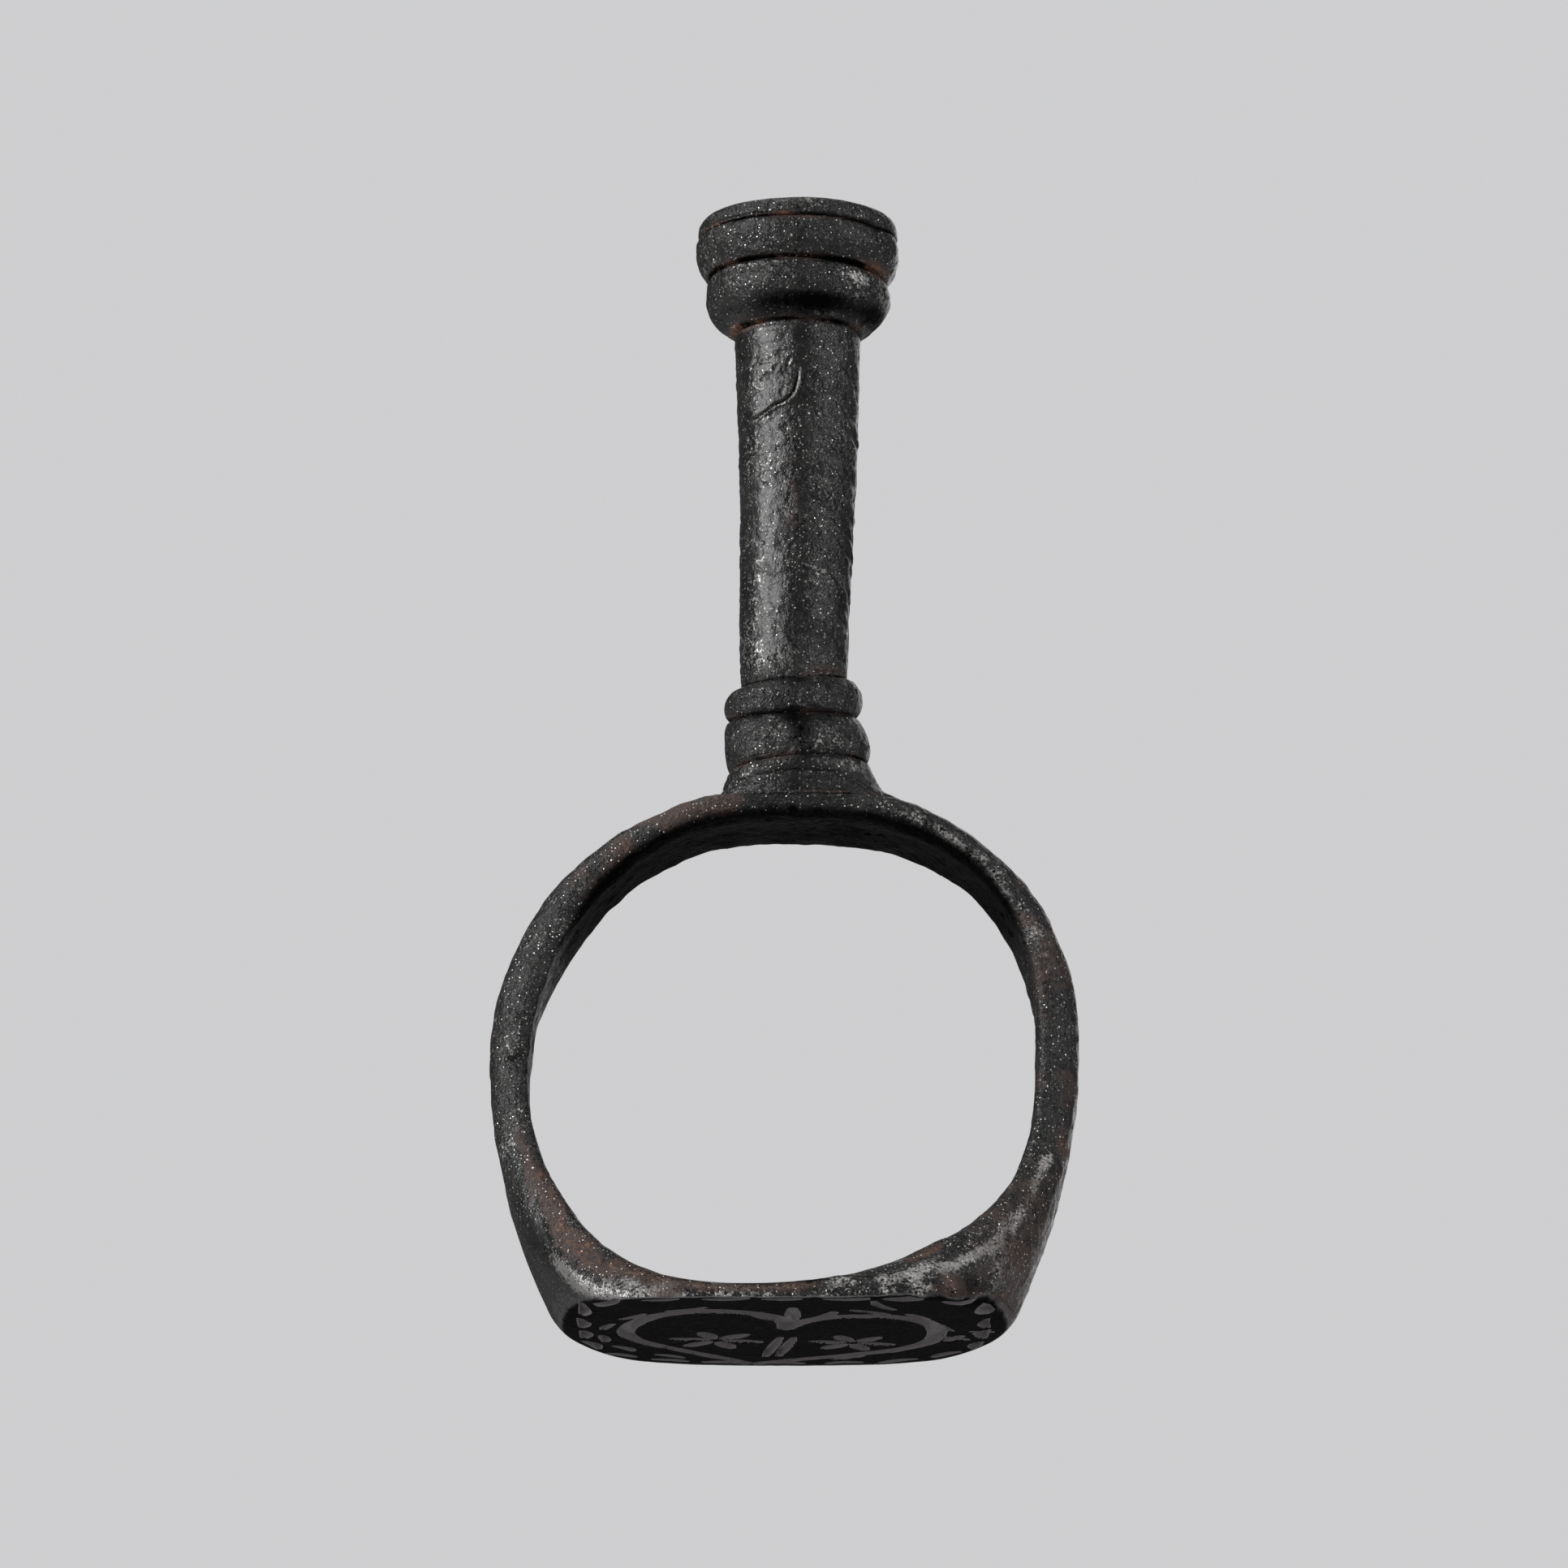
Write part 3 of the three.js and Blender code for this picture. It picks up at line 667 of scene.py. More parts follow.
def worked(wear, soot, hollow, strength=0.35):
    """Wear and soot with bumps rubbed bare and hollows filled with soot."""
    wear = np.clip(wear + strength * np.clip(-hollow, 0, 1) - strength * np.clip(hollow, 0, 1), 0, 1)
    return {"wear": wear, "soot": np.clip(soot + 0.7 * strength * np.clip(hollow, 0, 1), 0, 1)}


HOOP_STATIONS = 640  # sections round the strap
HOOP_SECTION = 152  # points round each section


def halved(field, low, high, rounds):
    """Bounds of the place between low and high where a field turns from negative to positive, by halving."""
    for _ in range(rounds):
        half = (low + high) / 2
        inside = field(half) < 0
        low, high = np.where(inside, half, low), np.where(inside, high, half)
    return low, high


def finger_hoop():
    """The strap as a ring of sections. Each section lies in a plane through Y, and each of its points is
    where a ray from the strap's middle line leaves the metal. The relief is added along the field's slope."""
    turn = np.arange(HOOP_STATIONS) * 2 * math.pi / HOOP_STATIONS
    out = np.stack([np.sin(turn), np.zeros_like(turn), np.cos(turn)], -1)
    centre = np.array([0.0, 0.0, WIDEST])

    def along(reach):
        return centre + out * reach[:, None]

    def unbored(p):
        """Negative inside the outer wall and between the bed and the seat."""
        return np.maximum(np.maximum(shell_distance(p), p[..., 2] - SEAT), BED - p[..., 2])

    def crossing(field, nearest, farthest):
        """Reach from the centre at which each section's ray crosses a field."""
        low, high = np.full(HOOP_STATIONS, nearest), np.full(HOOP_STATIONS, farthest)
        low, high = halved(lambda reach: field(along(reach)), low, high, 30)
        return (low + high) / 2

    inner = crossing(hole_distance, 5.0, 14.0)
    outer = crossing(unbored, 5.0, 16.0)
    middle = along((inner + outer) / 2)
    half_thickness = (outer - inner) / 2
    half_width = outline_at(middle[:, 2])[1]
    angle = np.arange(HOOP_SECTION) * 2 * math.pi / HOOP_SECTION
    angle = angle - 0.25 * np.sin(2 * angle)  # drawn from the narrow sides to the broad ones
    ray = (
        out[:, None, :] * (half_thickness[:, None] * np.cos(angle))[..., None]
        + np.array([0.0, 1.0, 0.0]) * (half_width[:, None] * np.sin(angle))[..., None]
    )
    low, high = np.zeros(ray.shape[:2]), np.full(ray.shape[:2], 1.6)
    low, _ = halved(lambda reach: hoop_field(middle[:, None, :] + ray * reach[..., None]), low, high, 26)
    points = middle[:, None, :] + ray * low[..., None]
    steps = np.eye(3) * SLOPE_STEP
    slope = np.stack([hoop_field(points + step) - hoop_field(points - step) for step in steps], -1)
    slope[..., 2] *= smooth_step(points[..., 2], BED, BED + 0.4)
    slope /= np.linalg.norm(slope, axis=-1, keepdims=True) + 1e-9
    relief, hollow = body_relief(points)
    points = points + slope * relief[..., None]
    points[..., 2] = np.clip(points[..., 2], BED, SEAT)
    make_piece(
        "hoop", "finger_hoop", "forged_iron", iron, points.reshape(-1, 3),
        grid_quads(HOOP_STATIONS, HOOP_SECTION, True, True),
        rust=body_rust(points), dust=np.zeros(points.shape[:2]), calm=smooth_zone(points),
        **worked(body_wear(points), body_soot(points), hollow),
    )


# Engraving of the face

def bezier(p0, p1, p2, p3, count):
    """Points on a cubic curve, without its last one: four points in cubic shares of t and 1 - t."""
    t = np.linspace(0, 1, count, endpoint=False)[:, None]
    p0, p1, p2, p3 = (np.array(p, float) for p in (p0, p1, p2, p3))
    return (1 - t) ** 3 * p0 + 3 * t * (1 - t) ** 2 * p1 + 3 * t**2 * (1 - t) * p2 + t**3 * p3


def rotated(points, angle):
    """Points of the plan turned about its middle, anticlockwise."""
    c, s = math.cos(angle), math.sin(angle)
    return np.asarray(points, float) @ np.array([[c, s], [-s, c]])


HEART_LENGTH = 12.6  # across the two lobes
HEART_HEIGHT = 11.6  # from the lobes to the point
HEART_TURN = math.radians(10)
HEART_SHIFT = np.array([-0.35, 1.75])  # of its middle from the middle of the face
HEART_LINE_HALF = 0.29  # half the width of the heart's line
ENGRAVING_DEPTH = 0.26
LINE_WALL = 0.10  # width of an engraved line's sloping side


def heart_line():
    """The heart's outline with its point towards +Y: three cubic curves in shares of its half length and its
    height, and their mirror image."""
    half, tall = HEART_LENGTH / 2, HEART_HEIGHT
    notch, lobe = (0, -0.22 * tall), (0.52 * half, -tall / 2)
    waist, point = (half, -0.10 * tall), (0, tall / 2)
    right = [
        bezier(notch, (0.04 * half, -0.44 * tall), (0.28 * half, -tall / 2), lobe, 12),
        bezier(lobe, (0.82 * half, -tall / 2), (half, -0.34 * tall), waist, 12),
        bezier(waist, (half, 0.18 * tall), (0.3 * half, 0.32 * tall), point, 16),
    ]
    right = np.concatenate([*right, [point]])
    left = right[::-1] * np.array([-1, 1])
    return rotated(np.concatenate([right, left[1:]]), HEART_TURN) + HEART_SHIFT


def stroke(start, end, width, bend=0.0, count=7):
    """A cut from start to end that bends sideways by a sine: its points, and its half widths, which swell
    from a quarter by a power of a sine."""
    start, end = np.array(start, float), np.array(end, float)
    t = np.linspace(0, 1, count)
    way = end - start
    aside = np.array([-way[1], way[0]]) * bend
    line = start + way * t[:, None] + aside * np.sin(math.pi * t)[:, None]
    return line, width / 2 * (0.25 + 0.75 * np.sin(math.pi * np.clip(t * 0.9 + 0.03, 0, 1)) ** 0.7)


def point_from(start, away, way):
    """The point at a distance from a start in a direction."""
    return np.array(start) + away * np.array([math.cos(way), math.sin(way)])


def leaf(root, way, length, width, bend=0.08):
    """A slightly bent cut of a length from its root in a direction."""
    return stroke(root, point_from(root, length, way), width, bend)


BORDER_LEAVES = 22
BORDER_INSET = 0.95
BORDER_POINTS = 240
LEAF_LENGTH = 1.5
LEAF_WIDTH = 0.42
SPRIG_ROOT = (0.35, -1.9)
SPRIG_GAP = 0.5  # from there to the root of each leaf
SPRIG_LENGTH = 2.6
SPRIG_WIDTH = 0.5
SPRIG_SPREAD = math.radians(34)
ROSETTES = ((-2.75, 1.95, 1.75), (2.75, 2.55, 1.60))  # middle and radius of each flower inside the heart
ROSETTE_LEAF_WIDTH = 0.60
STALK = (((-0.15, 1.3), (-0.75, 5.6)), ((0.42, 1.3), (-0.2, 5.5)))  # ends of the two strokes between them
STALK_WIDTH = 0.34
SPRAY_WIDTH = 0.36
SPRAYS = (  # ends of the loose strokes between heart and border
    ((2.75, -4.75), (4.1, -3.75)), ((3.55, -6.7), (4.35, -4.9)), ((4.95, -3.9), (5.75, -2.7)),
    ((-3.2, -5.3), (-4.6, -4.6)), ((-5.6, -3.9), (-6.5, -2.8)), ((-6.9, -1.7), (-7.3, -0.5)),
    ((-7.4, 0.9), (-7.25, 2.2)), ((-6.9, 3.3), (-6.2, 4.3)), ((6.35, -1.4), (6.75, -0.2)),
    ((5.3, 3.6), (4.4, 4.6)), ((3.2, 5.5), (2.1, 6.2)), ((-5.2, 5.2), (-4.2, 5.9)),
)
STARS = ((6.9, 1.5, 0.55), (8.0, 0.2, 0.4))  # middle and radius of two small crosses at the right
STAR_LEAF_WIDTH = 0.3


def face_outline(count, inset):
    """Points round the face at even turns: a superellipse with its own squareness on the near and far side,
    each half size times a power of the cosine or sine."""
    turn = np.arange(count) * 2 * math.pi / count
    c, s = np.cos(turn), np.sin(turn)
    power = 2 / np.where(s < 0, FACE_NEAR_SQUARENESS, FACE_FAR_SQUARENESS)
    half = np.array([FACE_LENGTH / 2 - inset, FACE_WIDTH / 2 - inset])
    return half * np.stack([np.sign(c) * np.abs(c) ** power, np.sign(s) * np.abs(s) ** power], -1)



def border_leaves(chance):
    """Leaves at equal steps along the border, each turned along it, with uneven lengths, widths and turns."""
    border = face_outline(BORDER_POINTS, BORDER_INSET)
    border = np.concatenate([border, border[:1]])
    run = np.concatenate([[0], np.cumsum(np.linalg.norm(np.diff(border, axis=0), axis=1))])

    def spot(at):
        return np.array([np.interp(at, run, border[:, 0]), np.interp(at, run, border[:, 1])])

    leaves = []
    for k in range(BORDER_LEAVES):
        at = run[-1] * k / BORDER_LEAVES
        east, north = spot(at + 0.4) - spot(at)
        way = math.atan2(north, east) + chance.uniform(-0.12, 0.12)
        length = LEAF_LENGTH * chance.uniform(0.85, 1.1)
        leaves.append(leaf(spot(at), way, length, LEAF_WIDTH * chance.uniform(0.85, 1.15)))
    return leaves


def engraved_strokes():
    """Every cut of the face, as pairs of points and half widths."""
    chance = np.random.default_rng(12)
    heart = heart_line()
    swell = HEART_LINE_HALF + 0.06 * np.sin(np.linspace(0, 9, len(heart)))
    cuts = [(heart, swell + chance.uniform(-0.02, 0.02, len(heart)))]
    cuts += border_leaves(chance)
    for k in (-1, 0, 1):
        way = -math.pi / 2 + k * SPRIG_SPREAD
        length = SPRIG_LENGTH * chance.uniform(0.8, 1.1)
        cuts.append(leaf(point_from(SPRIG_ROOT, SPRIG_GAP, way), way, length, SPRIG_WIDTH, 0.1 * k))
    for x, y, radius in ROSETTES:
        for k in range(6):
            way = k * math.pi / 3 + 0.2
            root = point_from((x, y), 0.26 * radius, way)
            cuts.append(leaf(root, way, 0.74 * radius, ROSETTE_LEAF_WIDTH, 0.0))
    for start, end in STALK:
        cuts.append(stroke(start, end, STALK_WIDTH))
    for start, end in SPRAYS:
        cuts.append(stroke(start, end, SPRAY_WIDTH * chance.uniform(0.8, 1.1), chance.uniform(-0.12, 0.12)))
    for x, y, radius in STARS:
        for k in range(4):
            way = k * math.pi / 2 + 0.5
            cuts.append(leaf(point_from((x, y), 0.1 * radius, way), way, radius, STAR_LEAF_WIDTH, 0.0))
    return cuts


def inside_cuts(xy):
    """How far each point of the face lies inside the nearest cut, negative outside: every stroke's half width
    less the distance to its segments."""
    deepest = np.full(len(xy), -9.0)
    for line, half_widths in engraved_strokes():
        for a, b, wide_a, wide_b in zip(line[:-1], line[1:], half_widths[:-1], half_widths[1:]):
            way = b - a
            t = np.clip((xy - a) @ way / max(way @ way, 1e-9), 0, 1)
            away = np.linalg.norm(xy - a - t[:, None] * way, axis=1)
            deepest = np.maximum(deepest, wide_a + (wide_b - wide_a) * t - away)
    return deepest


FACE_COLUMNS = 300
FACE_ROWS = 270
FARTHEST = 13.0  # a reach beyond the whole plate


def ring_at(turn, reach, z):
    """Points at turns and reaches about the Z axis, at a height."""
    return np.stack([np.cos(turn) * reach, np.sin(turn) * reach, z + 0 * reach], -1)


def reach_of(field, turn, z):
    """How far from the Z axis a field is first crossed in the direction of a turn, at a height."""
    low, high = np.zeros(turn.shape), np.full(turn.shape, FARTHEST)
    return halved(lambda reach: field(ring_at(turn, reach, z)), low, high, 30)[0]


def underside(xy, top):
    """Height of the rounded underside over each point of the plan, up to a top."""
    low, high = np.zeros(len(xy)), top.copy()
    return halved(lambda z: -shell_distance(np.concatenate([xy, z[:, None]], 1)), low, high, 24)[1]


def stretched(count):
    """Numbers from -1 to 1, drawn closer together towards both ends by a cubic of even steps."""
    t = np.linspace(-1, 1, count)
    return t * (1.25 - 0.25 * t * t)


def seal_plate():
    """The face is a square grid that is drawn out to the rim by the cube of the way there, rounded off
    towards it, and sunk where it is engraved. Rings climb from its rim up the side and in over the top."""
    v, u = (g.ravel() for g in np.meshgrid(stretched(FACE_ROWS), stretched(FACE_COLUMNS), indexing="ij"))
    side = np.maximum(np.abs(u), np.abs(v)) + 1e-9
    corner = np.stack([u / side * FACE_LENGTH / 2, v / side * FACE_WIDTH / 2], -1)
    turn = np.arctan2(corner[:, 1], corner[:, 0])
    at_end = smooth_step(np.abs(np.cos(turn)), 0.62, 0.88)
    rim_level = RIM_ON_SIDES + (0.9 * PLATE_TOP - RIM_ON_SIDES) * at_end
    rim_reach = reach_of(shell_distance, turn, rim_level)
    pull = 1 + (rim_reach / np.linalg.norm(corner, axis=1) - 1) * side**3
    xy = corner * (side * pull)[:, None]
    rim = np.concatenate([
        np.arange(FACE_COLUMNS), np.arange(1, FACE_ROWS) * FACE_COLUMNS + FACE_COLUMNS - 1,
        (FACE_ROWS - 1) * FACE_COLUMNS + np.arange(FACE_COLUMNS - 2, -1, -1),
        np.arange(FACE_ROWS - 2, 0, -1) * FACE_COLUMNS,
    ])
    z = underside(xy, rim_level)
    z[rim] = rim_level[rim]
    from_rim = np.maximum(rim_reach - np.linalg.norm(xy, axis=1), 0)
    flat = np.concatenate([xy, np.zeros((len(xy), 1))], 1)
    inside = inside_cuts(xy)
    depth = smooth_step(inside, -LINE_WALL / 2, LINE_WALL / 2) * smooth_step(from_rim, 0.05, 0.3)
    ground = 0.006 + 0.010 * grain(flat, 1.4, 61) + 0.03 * pits(flat, 0.5, 0.12, 66)
    near_edge = smooth_step(-xy[:, 1], 7.0, 8.0) * smooth_step(xy[:, 0], -4.0, 3.0)
    ragged = near_edge * smooth_step(noise(flat * np.array([1, 0.4, 1]), 0.6, 93), -0.2, 0.8) * 0.16
    chipped = rough_zone(flat) * smooth_step(-from_rim, -0.9, 0) * 0.20 * (1 + grain(flat, 0.7, 91))
    z = z + np.maximum(ground, 0) + ragged + chipped
    z = z + ENGRAVING_DEPTH * depth * (1 + 0.12 * grain(flat, 0.5, 71))
    face = np.concatenate([xy, z[:, None]], 1)
    outward = level_normal(np.stack([xy[:, 0], xy[:, 1], rim_level], -1))
    face += outward * (body_relief(face)[0] * np.exp(-from_rim / 0.15))[:, None]
    round_turn, low = turn[rim], rim_level[rim]
    rings = []
    levels = [low + (PLATE_TOP - low) * share for share in (0.12, 0.3, 0.5, 0.75, 1.0)]
    levels += [low * 0 + PLATE_TOP + lap for lap in (PLATE_SKIRT / 2, PLATE_SKIRT)]
    for level in levels:
        rings.append(ring_at(round_turn, reach_of(shell_distance, round_turn, level), level))
    rings += [rings[-1] * np.array([0.992, 0.992, 1])]  # the lap's inner edge
    rings += [rings[4] * np.array([k, k, 1]) for k in (0.985, 0.95, 0.9, 0.8, 0.5)]  # and in over the top
    lifted = []
    for ring, share in zip(rings, (1,) * 8 + (0.7, 0.3, 0, 0, 0)):
        ring = ring + level_normal(ring) * (body_relief(ring)[0] * share)[:, None]
        ring[:, 2] += np.minimum(hole_distance(ring), 0) * 1.1
        lifted.append(ring)
    start, count = len(face), len(rim)
    points = np.concatenate([face, *lifted, [[0, 0, PLATE_TOP]]])
    quads = [grid_quads(FACE_ROWS, FACE_COLUMNS, False, False)]
    loops = [rim] + [start + k * count + np.arange(count) for k in range(len(lifted))]
    for low_loop, high_loop in zip(loops[:-1], loops[1:]):
        quads.append(np.stack([np.roll(low_loop, -1), low_loop, high_loop, np.roll(high_loop, -1)], -1))
    on_face = smooth_step(from_rim, 0.1, 0.5)
    dust, rust = np.zeros(len(points)), body_rust(points)
    wear, soot = body_wear(points), body_soot(points)
    hollow = body_relief(points)[1]
    hollow[:start] *= 1 - on_face
    # pale fill of the cuts: deposit, and painted light on the cut walls
    filled = smooth_step(inside, -LINE_WALL / 2 - 0.05, -LINE_WALL / 2)
    dust[:start] = filled * smooth_step(from_rim, 0.05, 0.3) * (0.9 + 0.25 * grain(flat, 0.8, 77))
    rust[:start] *= 1 - 0.9 * on_face
    wear[:start] = wear[:start] * (1 - on_face) + 0.12 * (noise(flat, 1.3, 78) > 0.35) * on_face
    # the face is made near black all over
    soot[:start] = np.maximum(soot[:start], on_face * (0.86 + 0.14 * noise(flat, 0.5, 79)))
    calm = smooth_zone(points)
    calm[:start] = np.maximum(calm[:start], on_face * 0.8)
    make_piece(
        "engraved_plate", "seal_plate", "engraved_iron", iron_face, points, np.concatenate(quads),
        fan(len(points) - 1, loops[-1][::-1]), rust=rust, dust=dust, calm=calm,
        **worked(wear, soot, hollow),
    )


FILM_POINTS = 300  # round each film of braze
FILM_INSET = 0.005  # by which it stays behind the iron's surface


def plate_film():
    """The film of braze between plate and hoop: two rings where the metal ends at its two heights, closed by
    fans."""
    count = FILM_POINTS
    turn = np.arange(count) * 2 * math.pi / count
    outward = ring_at(turn, np.ones(count), 0)
    rings = []
    for z in (PLATE_TOP, BED):
        reach = reach_of(lambda p: np.maximum(shell_distance(p), -hole_distance(p)), turn, z)
        ring = ring_at(turn, reach, z)
        rings.append(ring + outward * (body_relief(ring)[0] - FILM_INSET)[:, None])
    points = np.concatenate([*rings, [[0, 0, PLATE_TOP]], [[0, 0, BED]]])
    loop = np.arange(count)
    triangles = np.concatenate([fan(2 * count, loop[::-1]), fan(2 * count + 1, loop + count)])
    make_piece(
        "plate_braze_film", "plate_braze", "braze_metal", braze, points,
        grid_quads(2, count, False, True), triangles, rust=body_rust(points),
        wear=0.5 * body_wear(points), dust=np.zeros(len(points)), soot=body_soot(points),
        calm=smooth_zone(points),
    )


# Stem

AROUND_STEM = 320  # points round each piece of the stem
SHAFT_BOTTOM = second_high[2]
SHAFT_TOP = roll_low[2]
LOWER_TENON = 1.15  # its radius
UPPER_TENON = 1.30
TENON_CLEARANCE = 0.05
PEEN_DEPTH = 0.4  # of the riveted ends
PEEN_SPREAD = 0.55

CREASES = (  # height, depth and how rusty each crease between two mouldings is
    (foot_high[2], 0.05, 0.62), (collar_high[2], 0.06, 0.45), (SHAFT_BOTTOM, 0.05, 0.45),
    (SHAFT_TOP, 0.06, 0.66), (roll_high[2], 0.13, 0.66), (top_roll_high[2], 0.08, 0.66),
)
SLANTS = (  # height, reach, and how far the mouldings there rise towards +X and +Y
    (foot_high[2], 0.7, 0.075, 0.02), (collar_high[2], 0.7, 0.02, 0.10),
    (SHAFT_BOTTOM, 0.8, 0.085, 0.10), (roll_high[2], 1.6, -0.030, -0.02),
)
SHAFT_BEND = -0.16  # how far the shaft's bottom stands off the axis


def leaning(p):
    """Moves points of the stem as its mouldings slant and as the shaft's lower end stands a little to -X: up
    by a bell round each slant's height times X and Y, and sideways between smooth steps."""
    p = p.copy()
    x, y, z = p[..., 0] - AXIS, p[..., 1], p[..., 2]
    rise = sum(hump(z, height, reach) * (east * x + north * y) for height, reach, east, north in SLANTS)
    rise = rise * smooth_step(z, foot_low[2], foot_high[2])
    p[..., 0] += SHAFT_BEND * smooth_step(z, 23.5, 26.0) * (1 - smooth_step(z, 28.0, 36.0))
    p[..., 2] += rise * (1 - smooth_step(z, top_roll_high[2], disc_high[2]))
    return p


def crease_closeness(p, width):
    """How close a point is to the nearest crease, from 0 to 1, over a width."""
    return sum(hump(p[..., 2], height, width) for height, _, _ in CREASES)


def stem_rust(p):
    """Rust of the stem from 0 to 1: it follows the creases between the mouldings in patches, is strongest
    under the upper roll at +X, and clouds the middle of the shaft."""
    rust = np.zeros(p.shape[:-1])
    for height, _, strength in CREASES:
        band = hump(p[..., 2], height + 0.03, 0.20)
        rust = np.maximum(rust, strength * band * (0.85 + 0.75 * noise(p, 1.1, 17)))
    spot = near_spot(p, (AXIS + 3.3, -2.0, roll_high[2] + 0.05), (1.0, 2.2, 0.42))
    left = 0.75 * near_spot(p, (AXIS - 1.9, -1.8, SHAFT_TOP - 0.05), (1.0, 1.5, 0.25))
    stain = 0.45 * near_spot(p, (AXIS - 0.2, -2.4, 34.5), (0.5, 1.0, 2.5))
    low = 0.5 * near_spot(p, (AXIS + 1.1, -2.0, SHAFT_BOTTOM + 0.3), (1.0, 1.2, 0.3))
    rim = 0.6 * near_spot(p, (AXIS + 0.6, -4.0, top_roll_high[2] - 0.12), (2.4, 1.2, 0.16))
    faint = 0.26 * smooth_step(noise(p, 2.4, 37), 0.2, 0.8)
    best = rust
    for part in (spot, left, stain, low, rim):
        best = np.maximum(best, part)
    return np.clip(best + faint, 0, 1)


def stem_wear(p):
    """Bare grey metal in cloudy patches, and more of the same grey in two spots on the foot's two sides.
    Painted highlights on two lips of the lower knob roll and along the shaft's left side. None in the creases."""
    patches = 0.45 * smooth_step(grain(p, 1.4, 52), -0.2, 0.9)
    # painted highlights on the lips of the lower knob roll at +X and -X
    lip_highlights = 0.8 * near_spot(p, (AXIS + 2.6, -2.6, roll_high[2] - 0.5), (0.8, 1.2, 0.25))
    lip_highlights += 0.7 * near_spot(p, (AXIS - 2.0, -3.2, roll_high[2] - 0.25), (1.6, 1.6, 0.09))
    foot = 0.8 * near_spot(p, (AXIS - 2.0, -1.6, 22.9), (0.6, 1.0, 0.3))
    foot += 0.7 * near_spot(p, (AXIS + 2.2, -1.6, 23.0), (0.7, 1.0, 0.25))
    shaft = smooth_step(p[..., 2], SHAFT_BOTTOM, SHAFT_BOTTOM + 1) * (p[..., 2] < SHAFT_TOP)
    # painted highlight along the shaft's left side, broken by noise
    left = 0.32 * shaft * near_spot(p * np.array([1, 1, 0]), (AXIS - 1.5, -1.8, 0), (0.5, 3, 1))
    left *= smooth_step(noise(p * np.array([1, 1, 0.7]), 0.55, 53), -0.7, 0.3)
    patches = patches * (1 - 0.65 * shaft - 0.25 * (p[..., 2] < SHAFT_BOTTOM))
    return np.clip(patches + lip_highlights + foot + left, 0, 1) * (1 - crease_closeness(p, 0.10).clip(0, 1))


def stem_soot(p):
    """Blackness: painted shade in the creases and under the lower roll, a painted dark reflection down the
    middle of the near side, random dark patches low on the shaft, and black on the tenon's lower end."""
    dark = np.zeros(p.shape[:-1])
    # painted shade in the creases between the mouldings
    for height, depth, _ in CREASES:
        band = hump(p[..., 2], height + 0.04, 0.075 + 0.4 * depth)
        dark = np.maximum(dark, (0.55 + 3 * depth) * band * (0.8 + 0.5 * noise(p, 1.3, 19)))
    # painted shade on the lower roll's underside
    under = 0.72 * hump(p[..., 2], SHAFT_TOP + 0.55, 0.55) * (1 + 0.2 * noise(p, 1.2, 20))
    under *= 0.55 + 0.45 * smooth_step(p[..., 0] - AXIS, -2.6, -0.8)
    low = 1 - smooth_step(p[..., 2], SHAFT_BOTTOM, SHAFT_BOTTOM + 0.3)
    # painted dark reflection down the middle of the shaft's near side
    middle = (0.42 + 0.22 * low) * hump(p[..., 0] - AXIS, 0.1, 0.6 + 0.3 * low) * (p[..., 1] < 0)
    middle *= 0.9 + 0.5 * noise(p, 0.9, 102)
    broken = 0.42 * smooth_step(grain(p, 0.9, 103), -0.1, 0.5) * (1 - smooth_step(p[..., 2], 33.0, 38.0))
    middle = np.maximum(middle, broken)
    tenon = 1 - smooth_step(p[..., 2], HOLE_TOP + 0.6, HOLE_TOP + 0.9)
    return np.clip(np.maximum(np.maximum(dark, under), np.maximum(middle, tenon)), 0, 1)


def stem_calm(p):
    """How smooth the surface is: the shaft more than the mouldings, most of all on its left side."""
    shaft = smooth_step(p[..., 2], SHAFT_BOTTOM, SHAFT_BOTTOM + 1)
    shaft = shaft * (1 - smooth_step(p[..., 2], SHAFT_TOP - 0.3, SHAFT_TOP))
    left = smooth_step(AXIS - p[..., 0], 0.0, 0.8)
    return shaft * (0.35 + 0.35 * left) + 0.15 * (1 - shaft)


def stem_relief(p, strength=1.0):
    """Height of the stem's filed and pitted surface over its plain form, in millimetres: noises less pits."""
    relief = 0.024 * grain(p, 1.7, 21) + 0.018 * grain(p, 0.42, 25, 2)
    relief -= 0.040 * pits(p, 0.42, 0.20, 28) + 0.025 * pits(p, 0.26, 0.15, 29)
    return relief * strength


def crease_relief(p):
    """Height at the creases, in millimetres: minus each one's uneven depth times a narrow bell."""
    cut = 0.0
    for height, depth, _ in CREASES:
        cut = cut - depth * (1 + 0.6 * noise(p, 1.6, 39)) * hump(p[..., 2], height, 0.085)
    return cut


